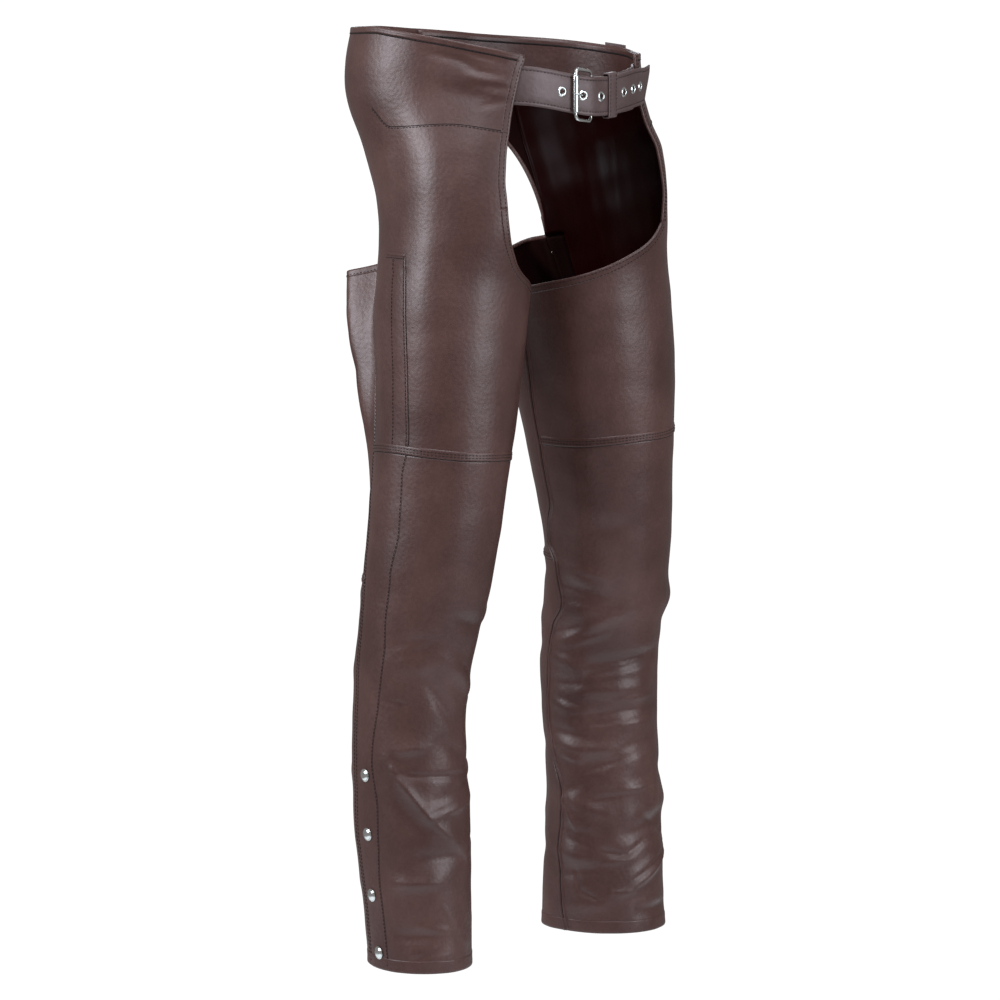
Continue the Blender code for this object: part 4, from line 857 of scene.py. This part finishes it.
def sew_leg(side):
    """Turned edges, laps, strips of painted shade along creases and steps, and stitches of one hip and leg.
    """

    round_front = np.linspace(INSIDE_ANGLE, OPENING_ANGLE, 240)
    round_back = np.linspace(OPENING_ANGLE, LAST_BACK, 120)
    down = np.linspace(0, LAST_ROW, 500)
    cut_angles = np.concatenate([np.linspace(163, 166, 40), np.linspace(166.2, 214, 120)])
    waist = hip_place(side, np.linspace(FRONT_ANGLE, CENTRE_BACK, 240), 0.0)
    inner_waist = hip_place(side, np.linspace(15, CENTRE_BACK, 240), 0.0)
    front = hip_place(side, FRONT_ANGLE, np.linspace(0, 1, 120))
    crotch = leg_place(side, "front", np.linspace(FRONT_ANGLE, INSIDE_ANGLE, 160), 0.0)
    back_top = leg_place(side, "back", round_back, 0.0)
    back_cut = hip_place(side, cut_angles, 1.0)
    opening = leg_place(side, "front", OPENING_ANGLE, down)
    inseam = leg_place(side, "front", INSIDE_ANGLE, down)
    thigh_seam = leg_place(side, "front", round_front, THIGH_ROWS)
    calf_seam = leg_place(side, "back", round_back, BACK_SEAM_ROW)
    hem_front = leg_place(side, "front", round_front, LAST_ROW)
    hem_back = leg_place(side, "back", round_back, LAST_ROW)
    edges = {
        "waist_edge": (waist, 6.0, -1), "front_edge": (front, 9.0, 1), "crotch_edge": (crotch, 9.0, 1),
        "back_top_edge": (back_top, 8.0, -1), "back_cut_edge": (back_cut, 8.0, 1),
        "hem_front_edge": (hem_front, 14.0, 1), "hem_back_edge": (hem_back, 14.0, 1),
    }
    for name, (path, width, inward) in edges.items():
        ribbon(side + "_" + name, side, path, edge_profile(width, inward), HIDE)
    # the strips below that take the near-black crease material are painted shade: the shadow under lapped
    # steps and the waist rim, and the shade in seam creases and grooves
    ribbon(side + "_thigh_lap", side, thigh_seam, LAP, HIDE)
    ribbon(side + "_thigh_lap_painted_shade", side, thigh_seam, STEP_CREASE, CREASE_SHADE)
    ribbon(side + "_calf_lap", side, calf_seam, LAP, HIDE)
    ribbon(side + "_calf_lap_painted_shade", side, calf_seam, STEP_CREASE, CREASE_SHADE)
    ribbon(side + "_rolled_inseam", side, inseam, ROLLED, HIDE, step=2.5)
    yoke = (along(YOKE_ANGLE, np.linspace(0, 1, 160)), along(YOKE_HEIGHT, np.linspace(0, 1, 160)) * MM)
    placket_z = np.linspace(PLACKET_TOP, PLACKET_FOOT, 120)
    placket = (along(PLACKET, placket_z), placket_z * MM)
    placket_top = (np.linspace(68, 94, 30), np.full(30, PLACKET_TOP * MM))
    low_z = np.linspace(PLACKET_FOOT, LOW_SEAM_FOOT, 300)
    low_seam = (along(PLACKET, low_z), low_z * MM)
    ribbon(side + "_yoke_painted_shade", side, yoke, LINE_CREASE, CREASE_SHADE, step=2.0)
    ribbon(side + "_rim_painted_shade", side, waist, RIM_CREASE, CREASE_SHADE)
    ribbon(side + "_inner_rim_painted_shade", side, inner_waist, INNER_RIM, CREASE_SHADE)
    ribbon(side + "_placket_lap", side, placket, PLACKET_LAP, HIDE)
    ribbon(side + "_placket_top_lap", side, placket_top, PLACKET_LAP, HIDE, step=2.0)
    ribbon(side + "_placket_painted_shade", side, placket, STEP_CREASE, CREASE_SHADE)
    ribbon(side + "_low_seam_painted_shade", side, low_seam, FINE_CREASE, CREASE_SHADE)
    ribbon(side + "_inseam_painted_shade", side, inseam, INSEAM_CREASE, CREASE_SHADE, step=2.5)
    lines = [
        line_of(side, yoke, 1.6), line_of(side, placket, 2.6, 0.7), line_of(side, placket, 25.0, 0.35),
        line_of(side, placket_top, -2.6, 0.7), line_of(side, low_seam, 1.4),
        line_of(side, waist, -6.6), line_of(side, front, 2.4, 0.6), line_of(side, front, 7.6, 0.5),
        line_of(side, crotch, 2.4, 0.6), line_of(side, crotch, 7.6, 0.5),
        line_of(side, back_top, -5.5, 0.5), line_of(side, back_cut, 5.5, 0.5),
        line_of(side, thigh_seam, 2.8, 0.95), line_of(side, thigh_seam, 5.8, 0.75),
        line_of(side, calf_seam, 2.8, 0.95), line_of(side, calf_seam, 5.8, 0.75),
        line_of(side, opening, -3.0), line_of(side, opening, 3.0),
    ]
    stitching(side + "_stitching", lines, THREAD_BROWN)


# snaps: height, and angle in front of the side opening
SNAPS = ((-803, 21.3), (-869, 22), (-938, 18.5), (-1002, 24))

# turned profiles: radius and rise off the leather, in millimetres
SNAP_ROWS = ((0.0, 0.5), (7.1, 0.5), (7.3, 0.8), (7.1, 1.15), (6.6, 1.35), (6.1, 1.2), (5.8, 1.35),
             (5.2, 1.95), (4.0, 2.5), (2.4, 2.85), (1.0, 2.95), (0.0, 2.98))
EYELET_ROWS = ((3.3, -1.35), (3.25, 1.2), (3.35, 1.9), (3.75, 2.35), (4.4, 2.45), (5.1, 2.1), (5.6, 1.55),
               (5.55, 1.4), (3.7, 1.38), (3.5, -1.35))


def round_about(centre, normal, rows, segments):
    """Rings of a profile of radius and rise, turned about an axis, in millimetres."""
    normal = unit(np.asarray(normal))
    across = unit(np.cross([0.0, 0.0, 1.0], normal))
    up = np.cross(normal, across)
    turn = np.linspace(0, 2 * math.pi, segments, endpoint=False)
    ring = np.cos(turn)[:, None] * across + np.sin(turn)[:, None] * up
    return [centre + ring * max(radius, 0.02) * MM + normal * rise * MM for radius, rise in rows]


def tube(points, radii, sides, closed=False):
    """Rings of a round wire along points."""
    points = np.asarray(points)
    if closed:
        ahead = np.roll(points, -1, 0) - np.roll(points, 1, 0)
    else:
        ahead = np.gradient(points, axis=0)
    ahead = unit(ahead)
    upright = np.array([0.0, 0.0, 1.0])
    rings = []
    first = unit(np.cross(ahead[0], [0.9, 0.35, 0.1] if abs(ahead[0] @ upright) > 0.9 else upright))
    for point, along_wire, radius in zip(points, ahead, radii):
        first = unit(first - along_wire * (first @ along_wire))
        second = np.cross(along_wire, first)
        turn = np.linspace(0, 2 * math.pi, sides, endpoint=False)
        rings.append(point + radius * MM * (np.cos(turn)[:, None] * first + np.sin(turn)[:, None] * second))
    return rings


def build_snaps(side):
    """Domed snaps in front of the side opening."""
    for number, (z, before) in enumerate(SNAPS, 1):
        height = np.array(z * MM)
        turn = section_at(side, height)[..., TURN] - before
        centre, _, _, normal = face(side, turn, height)
        rings = round_about(centre, normal, SNAP_ROWS, 28)
        loft("%s_snap_cap_%d" % (side, number), rings, NICKEL, "%s_snap_%d" % (side, number))


def cubic(pairs, value):
    """Smooth curve through pairs, with free slopes at its points."""
    xs = np.array([row[0] for row in pairs], float)
    ys = np.array([row[1] for row in pairs], float)
    slope = np.empty_like(ys)
    slope[1:-1] = (ys[2:] - ys[:-2]) / (xs[2:] - xs[:-2])
    slope[0] = (ys[1] - ys[0]) / (xs[1] - xs[0])
    slope[-1] = (ys[-1] - ys[-2]) / (xs[-1] - xs[-2])
    return through(xs, ys, slope, value)


# the waist strap's middle across the belly: position along X and Y and height,
# in millimetres; at both ends it follows the hips' own surface
BELLY = ((-84, -132.6, -44), (-64, -138.8, -47), (-38, -144.5, -51.8), (-10, -147.0, -56),
         (20, -145.5, -56), (50, -140, -52.5), (80, -129.6, -48.5))
BELLY_ENDS = {
    "right": ((44, -41), (35, -41), (26, -41.2), (18, -41.6), (12, -42), (7, -42.5)),
    "left": ((7, -46), (12, -45.5), (18, -45), (26, -44), (35, -43), (44, -42.5), (54, -42), (64, -42)),
}

belly_points = np.array(
    [surface("right", turn, z * MM, COARSEST_FOLD) for turn, z in BELLY_ENDS["right"]]
    + [np.array(row, float) * MM for row in BELLY]
    + [surface("left", turn, z * MM, COARSEST_FOLD) for turn, z in BELLY_ENDS["left"]])
belly_steps = np.linalg.norm(np.diff(belly_points[:, :2], axis=0), axis=1)
belly_length = np.concatenate([[0.0], np.cumsum(belly_steps)]) * 1000.0
edge_right = belly_steps[:5].sum() * 1000.0
edge_left = belly_steps[:-7].sum() * 1000.0


def belly_frame(station):
    """Point and outward direction at a distance along the belly line, in millimetres."""
    value = np.zeros(3)
    ahead = np.zeros(3)
    for k in range(3):
        pairs = tuple(zip(belly_length, belly_points[:, k] * 1000.0))
        value[k] = cubic(pairs, station) * MM
        ahead[k] = cubic(pairs, station + 0.5) - cubic(pairs, station - 0.5)
    return value, unit(np.cross(ahead, [0.0, 0.0, 1.0]))


def strap_point(station, out, rise=0.0):
    """Point beside the belly line: distance along, out from it and up, in millimetres."""
    value, outward = belly_frame(station)
    return value + outward * out * MM + np.array([0.0, 0.0, rise * MM])


# places along the belly line, in millimetres
start_right = edge_right - 8.0
start_left = edge_left + 8.0
heel = edge_right + 103.0
bar = heel - 29.0
tip_at = edge_right + 228.0

# strap lines: millimetres along the belly line and out from it
right_line = (
    (start_right, -8.4), (edge_right - 4, -8.2), (edge_right + 2, -7.5), (edge_right + 8, -6.4),
    (edge_right + 14, -5.2), (edge_right + 24, -3.4), (edge_right + 38, -2.2), (edge_right + 52, -1.7),
    (bar - 14, -1.7), (bar - 6, -1.7), (bar, -1.5), (bar + 4, -0.9), (bar + 10, 0.4), (bar + 16, 1.8),
    (bar + 21, 2.8), (heel - 2, 3.3), (heel + 4, 3.1), (heel + 12, 3.0), (heel + 24, 3.0), (heel + 36, 3.0),
    (heel + 50, 3.0), (heel + 64, 3.0), (heel + 74, 3.0), (tip_at - 42, 3.4), (tip_at - 32, 4.4),
    (tip_at - 22, 5.7), (tip_at - 14, 6.6), (tip_at - 7, 7.1), (tip_at, 7.3),
)
fold = [(heel, 0.0), (heel - 2.0, -0.6), (heel - 3.1, -1.9), (heel - 3.5, -3.5), (heel - 3.1, -5.1),
        (heel - 2.0, -6.4), (heel, -7.0)]
left_line = [
    (start_left, -7.4), (edge_left + 4, -7.2), (edge_left - 4, -6.0), (edge_left - 14, -3.6),
    (edge_left - 26, -1.4), (edge_left - 40, -0.4), (heel + 66, 0.0), (heel + 52, 0.0), (heel + 38, 0.0),
    (heel + 26, 0.0), (heel + 14, 0.0), (heel + 6, 0.0)] + fold + [
    (heel + 6, -7.0), (heel + 14, -7.0), (heel + 22, -7.0)]

# strap edges: station, lower and upper edge, and the upper edge's lean out
edge = STRAP_HEIGHT / 2
right_edges = ((start_right, -edge, edge, 0.0), (tip_at - 50, -edge, edge, 0.0),
               (tip_at - 32, -edge, edge - 1.0, 0.2), (tip_at - 22, -edge, edge - 2.0, 0.4),
               (tip_at - 14, -edge, edge - 2.5, 0.7), (tip_at - 7, -4.0, edge - 1.5, 1.0),
               (tip_at, 13.0, edge - 0.5, 1.2))
left_edges = ((heel + 20, -edge, edge, 0.0), (heel + 52, -edge - 1.5, edge + 1.0, 0.0),
              (edge_left - 26, -edge - 3.0, edge + 1.5, 0.0), (start_left, -edge - 3.0, edge + 1.0, 0.0))

# eyelets: distance along the strap from the right hip's front edge
EYELETS = (58.5, 86.0, 111.3, 154.0, 176.5, 195.5)
EYELET_BORE = 3.6
FRAME_WIRE = 1.8
FRAME_HALF = 27.5
CORNER = 6.0
bar_out = 3.5
heel_out = -3.5

# prong: distance along from the heel bar and out
prong_line = [(2.2, -5.6), (0.2, -6.5), (-1.9, -5.9), (-2.95, -4.2), (-3.6, -2.4), (-5.2, -1.3),
              (-8.0, -1.0), (-11.5, -1.5), (-13.9, -1.1), (-17.0, 1.4), (-20.2, 4.0), (-24.0, 6.8),
              (-26.4, 7.9), (-29.0, 8.1), (-31.6, 7.8)]
keeper_at = edge_right + 130.0
KEEPER_HALF = 23.3
KEEPER_WIDTH = 15.0
KEEPER_ROUND = 1.4        # radius of the keeper's bends
KEEPER_BACK = -2.1        # its inner face behind and before the strap, out from the belly line
KEEPER_FRONT = 4.9


def strap_rows(line, step):
    """A strap's line with even stations between its rows."""
    rows = np.array(line, float)
    length = np.concatenate([[0.0], np.cumsum(np.hypot(*np.diff(rows, axis=0).T))])
    even = np.linspace(0.0, length[-1], int(length[-1] / step) + 2)
    return np.stack([cubic(tuple(zip(length, rows[:, k])), even) for k in (0, 1)], 1)


def strap_rings(line, edges, step):
    """Rings round a strap, and the points and normals of its two stitched lines."""
    rows = strap_rows(line, step)
    points = np.array([strap_point(station, out) for station, out in rows])
    ahead = unit(np.gradient(points, axis=0))
    outward = unit(np.cross(ahead, [0.0, 0.0, 1.0]))
    stations = [row[0] for row in edges]
    half = STRAP_WALL / 2
    rim = ((0.3, 0.8), (1.1, half + 0.15), (2.2, half + 0.35), (3.4, half + 0.2), (4.1, half - 0.15),
           (4.8, half - 0.15), (5.6, half + 0.15))
    rings = []
    stitches = [[], []]
    for k, station in enumerate(rows[:, 0]):
        low, high, lean = [np.interp(station, stations, [row[n] for row in edges]) for n in (1, 2, 3)]
        grow = min(1.0, (high - low) / 16.0)
        side_rows = [(low + away * grow, depth) for away, depth in rim]
        side_rows += [(low + (high - low) * share, half + 0.2) for share in (0.3, 0.5, 0.7)]
        side_rows += [(high - away * grow, depth) for away, depth in reversed(rim)]
        side_rows += [(high, 0.0), (high - 0.3, -0.9), (high - 0.9, -half), (low + 0.9, -half),
                      (low + 0.3, -0.9), (low, 0.0)]
        rings.append([points[k] + outward[k] * (depth + lean * height / high) * MM
                      + np.array([0.0, 0.0, height * MM]) for height, depth in side_rows])
        for n, height in enumerate((low + 4.45 * grow, high - 4.45 * grow)):
            stitches[n].append((points[k] + outward[k] * (half - 0.1 + lean * height / high) * MM
                                + np.array([0.0, 0.0, height * MM]), outward[k]))
    lines = [tuple(np.array(column) for column in zip(*some)) for some in stitches]
    return rings, lines


def bore(thing, holes, radius):
    """Round holes through a piece, at points with their directions."""
    vertices = []
    faces = []
    segments = 20
    for centre, normal in holes:
        first = len(vertices)
        for ring in round_about(centre, normal, ((radius, -6.0), (radius, 6.0)), segments):
            vertices += list(ring)
        for n in range(segments):
            m = (n + 1) % segments
            faces.append((first + n, first + m, first + segments + m, first + segments + n))
        faces.append(tuple(first + n for n in reversed(range(segments))))
        faces.append(tuple(first + segments + n for n in range(segments)))
    cutter = bpy.data.objects.new("bores", mesh_from("bores", vertices, faces))
    bpy.context.scene.collection.objects.link(cutter)
    cut = thing.modifiers.new("bores", "BOOLEAN")
    cut.operation = "DIFFERENCE"
    cut.solver = "EXACT"
    cut.object = cutter
    view = bpy.context.evaluated_depsgraph_get()
    holed = bpy.data.meshes.new_from_object(thing.evaluated_get(view))
    thing.modifiers.clear()
    thing.data = holed
    bpy.data.objects.remove(cutter)


def build_strap():
    """Both halves of the waist strap with their eyelets, keeper and sewing."""
    rings, right_lines = strap_rings(right_line, right_edges, 2.2)
    right_strap = loft("right_strap_leather", rings, STRAP_HIDE, "right_waist_strap")
    rings, left_lines = strap_rings(left_line, left_edges, 1.2)
    loft("left_strap_leather", rings, STRAP_HIDE, "left_waist_strap")
    stations = [row[0] for row in right_line]
    outs = [row[1] for row in right_line]
    holes = []
    for number, offset in enumerate(EYELETS, 1):
        station = edge_right + offset
        centre = strap_point(station, np.interp(station, stations, outs))
        low = strap_point(station - 3.0, np.interp(station - 3.0, stations, outs))
        high = strap_point(station + 3.0, np.interp(station + 3.0, stations, outs))
        facing = unit(np.cross(high - low, [0.0, 0.0, 1.0]))
        holes.append((centre, facing))
        loft("eyelet_ring_%d" % number, round_about(centre, facing, EYELET_ROWS, 32), NICKEL,
             "eyelet_%d" % number, closed=True)
    bore(right_strap, holes, EYELET_BORE)
    stitching("strap_stitching", right_lines + left_lines + build_keeper(), THREAD_BROWN)


def build_buckle():
    """Buckle frame with its roller, and the prong."""
    frame_path = []
    for share in np.linspace(-1, 1, 9):
        frame_path.append((bar, bar_out, share * (FRAME_HALF - CORNER)))
    corners = ((bar, bar_out, 1, 0), (heel, heel_out, 1, 1), (heel, heel_out, -1, 2), (bar, bar_out, -1, 3))
    slant = (heel_out - bar_out) / (heel - bar)
    for corner_s, corner_o, rise, turn in corners:
        inward = 1.0 if turn in (0, 3) else -1.0
        for step in range(1, 7):
            share = step / 7.0 * math.pi / 2
            if turn in (0, 2):
                run = CORNER * (1 - math.cos(share))
                climb = CORNER * math.sin(share)
            else:
                run = CORNER * (1 - math.sin(share))
                climb = CORNER * math.cos(share)
            frame_path.append((corner_s + inward * run, corner_o + slant * inward * run,
                               rise * (FRAME_HALF - CORNER + climb)))
        if turn == 1:
            for share in np.linspace(1, -1, 9):
                frame_path.append((heel, heel_out, share * (FRAME_HALF - CORNER)))
    points = [strap_point(*row) for row in frame_path]
    rings = tube(points, [FRAME_WIRE] * len(points), 14, True)
    loft("buckle_wire", rings, NICKEL, "buckle_frame", True)
    heights = (-20.6, -20.4, -19.9, -19.0, -10.0, 0.0, 10.0, 19.0, 19.9, 20.4, 20.6)
    radii = (2.0, 2.9, 3.25, 3.35, 3.35, 3.35, 3.35, 3.35, 3.25, 2.9, 2.0)
    points = [strap_point(bar, bar_out, height) for height in heights]
    loft("buckle_roller", tube(points, radii, 24), NICKEL, None)

    line = np.array(prong_line, float)
    length = np.concatenate([[0.0], np.cumsum(np.hypot(*np.diff(line, axis=0).T))])
    even = np.linspace(0, length[-1], 60)
    ahead = cubic(tuple(zip(length, line[:, 0])), even)
    out = cubic(tuple(zip(length, line[:, 1])), even)
    points = [strap_point(heel + station, away) for station, away in zip(ahead, out)]
    radii = np.interp(even, (0, length[-1] - 4, length[-1] - 0.8, length[-1]), (1.0, 1.0, 0.85, 0.3))
    loft("buckle_tongue", tube(points, radii, 12), NICKEL, "buckle_prong")


def build_keeper():
    """Keeper round both halves of the strap; gives its two stitched lines."""
    ring = []
    low = KEEPER_BACK
    high = KEEPER_FRONT
    for corner_o, corner_r, start in ((high, 1, 0), (low, 1, 1), (low, -1, 2), (high, -1, 3)):
        for step in range(5):
            angle = (start + step / 4.0) * math.pi / 2
            inward = 1 if corner_o == high else -1
            ring.append((corner_o - inward * KEEPER_ROUND, corner_r * (KEEPER_HALF - KEEPER_ROUND),
                         math.cos(angle), math.sin(angle)))
    half = KEEPER_WIDTH / 2
    side_rows = ((0.2, 0.0), (0.0, 0.5), (0.1, 1.2), (0.7, 1.75), (1.7, 1.85), (2.6, 1.5), (3.3, 1.7))
    section = [(-half + along_it, lift) for along_it, lift in side_rows] + [(0.0, 1.75)]
    section += [(half - along_it, lift) for along_it, lift in reversed(side_rows)]
    rings = []
    for centre_o, centre_r, cos, sin in ring:
        rings.append([strap_point(keeper_at + s, centre_o + cos * (KEEPER_ROUND + grow),
                                  centre_r + sin * (KEEPER_ROUND + grow)) for s, grow in section])
    loft("keeper_loop", rings, STRAP_HIDE, "strap_keeper", True)
    lines = []
    for s in (-half + 2.6, half - 2.6):
        rises = np.linspace(-KEEPER_HALF, KEEPER_HALF, 30)
        points = [strap_point(keeper_at + s, high + 1.65, rise) for rise in rises]
        normals = [belly_frame(keeper_at + s)[1]] * len(rises)
        lines.append((np.array(points), np.array(normals)))
    return lines


def build_tab():
    """Small leather tab that stands above the left hip's edge."""
    turns = np.linspace(78.5, 99.5, 12)
    heights = (-26.0, -25.5, -24.0, -16.0, -8.0, -1.0, 1.8, 3.0, 3.5)
    grids = []
    for depth in (0.6, 2.3):
        rows = []
        for height in heights:
            row = []
            for turn in turns:
                rim = along(WAIST_EDGE["left"], turn)
                z = (rim + min(height, -1.0)) * MM
                away = surface("left", turn + 1.0, z) - surface("left", turn - 1.0, z)
                away = unit(np.cross(away, [0.0, 0.0, 1.0]))
                edge = 0.35 if height in (heights[0], heights[-1]) or turn in (turns[0], turns[-1]) else 0.0
                point = surface("left", turn, z) + away * (depth - edge * (1 if depth > 1 else -1)) * MM
                row.append((point[0], point[1], (rim + height) * MM))
            rows.append(row)
        grids.append(rows)
    rings = []
    for back, front_row in zip(*grids):
        rings.append(back + front_row[::-1])
    loft("hip_tab_leather", rings, STRAP_HIDE, "left_hip_tab")


for side in ("right", "left"):
    build_leg(side)
    build_snaps(side)
build_strap()
build_buckle()
build_tab()

# camera: where the photograph was taken from
CAMERA_PLACE = (-3.5355, -3.5355, 0.10)
CAMERA_AIM = (0.0, 0.0, -0.515)
CAMERA_LENS = 160.2
FLOOR_REACH = 1.35
FLOOR_HEIGHT = -1.45
FLOOR_SIDES = 96
SURROUND = 0.28
LAMP_COLOUR = (0.80, 0.92, 1.0)

# lamps: name, place, what it points at, size and power
SOFT_BOXES = (
    ("left_box", (-2.4, 0.9, 0.5), (0.0, 0.0, -0.1), (1.2, 0.9), 78.0),
    ("right_box", (0.5, -2.8, 0.1), (0.05, 0.0, -0.4), (1.2, 1.6), 62.0),
    ("front_box", (-2.4, -2.4, 2.2), (0.0, 0.0, -0.4), (1.6, 1.2), 46.0),
    ("top_box", (-0.6, -0.6, 2.2), (0.0, 0.0, -0.3), (1.4, 1.4), 60.0),
    ("rear_box", (2.2, 2.4, 0.8), (0.0, 0.0, -0.5), (1.2, 2.0), 30.0),
)


def look_at(thing, aim):
    """Turn a camera or lamp towards a point."""
    from_to = np.array(aim) - np.array(thing.location)
    thing.rotation_euler = Vector(from_to).to_track_quat("-Z", "Y").to_euler()


def soft_box(name, place, aim, size, power):
    """Rectangular studio lamp."""
    light = bpy.data.lights.new(name, "AREA")
    light.shape = "RECTANGLE"
    light.size = size[0]
    light.size_y = size[1]
    light.energy = power
    light.color = LAMP_COLOUR
    lamp = bpy.data.objects.new(name, light)
    lamp.location = place
    bpy.context.scene.collection.objects.link(lamp)
    look_at(lamp, aim)


def stage():
    """Camera, pale floor, white surroundings and soft lights."""
    camera = bpy.data.cameras.new("camera")
    camera.lens = CAMERA_LENS
    camera.sensor_width = 36.0
    viewer = bpy.data.objects.new("camera", camera)
    viewer.location = CAMERA_PLACE
    bpy.context.scene.collection.objects.link(viewer)
    look_at(viewer, CAMERA_AIM)
    bpy.context.scene.camera = viewer
    floor_mesh = bpy.data.meshes.new("floor")
    turn = np.linspace(0, 2 * math.pi, FLOOR_SIDES, endpoint=False)
    rim = [(FLOOR_REACH * math.cos(a), FLOOR_REACH * math.sin(a), FLOOR_HEIGHT) for a in turn]
    floor_mesh.from_pydata(rim, [], [tuple(range(FLOOR_SIDES))])
    floor = bpy.data.objects.new("floor", floor_mesh)
    bpy.context.scene.collection.objects.link(floor)
    pale = bpy.data.materials.new("pale_floor")
    pale.use_nodes = True
    shader = pale.node_tree.nodes["Principled BSDF"]
    shader.inputs["Base Color"].default_value = (0.92, 0.92, 0.92, 1.0)
    shader.inputs["Roughness"].default_value = 0.9
    floor_mesh.materials.append(pale)
    world = bpy.data.worlds.new("surroundings")
    world.use_nodes = True
    nodes = world.node_tree.nodes
    links = world.node_tree.links
    lighting = nodes["Background"]
    lighting.inputs["Color"].default_value = (1.0, 1.0, 1.0, 1.0)
    lighting.inputs["Strength"].default_value = SURROUND
    white = nodes.new("ShaderNodeBackground")
    white.inputs["Color"].default_value = (1.0, 1.0, 1.0, 1.0)
    white.inputs["Strength"].default_value = 1.05
    ray = nodes.new("ShaderNodeLightPath")
    pick = nodes.new("ShaderNodeMixShader")
    links.new(ray.outputs["Is Camera Ray"], pick.inputs[0])
    links.new(lighting.outputs[0], pick.inputs[1])
    links.new(white.outputs[0], pick.inputs[2])
    links.new(pick.outputs[0], nodes["World Output"].inputs["Surface"])
    bpy.context.scene.world = world
    bpy.context.scene.view_settings.view_transform = "Standard"
    for row in SOFT_BOXES:
        soft_box(*row)


stage()
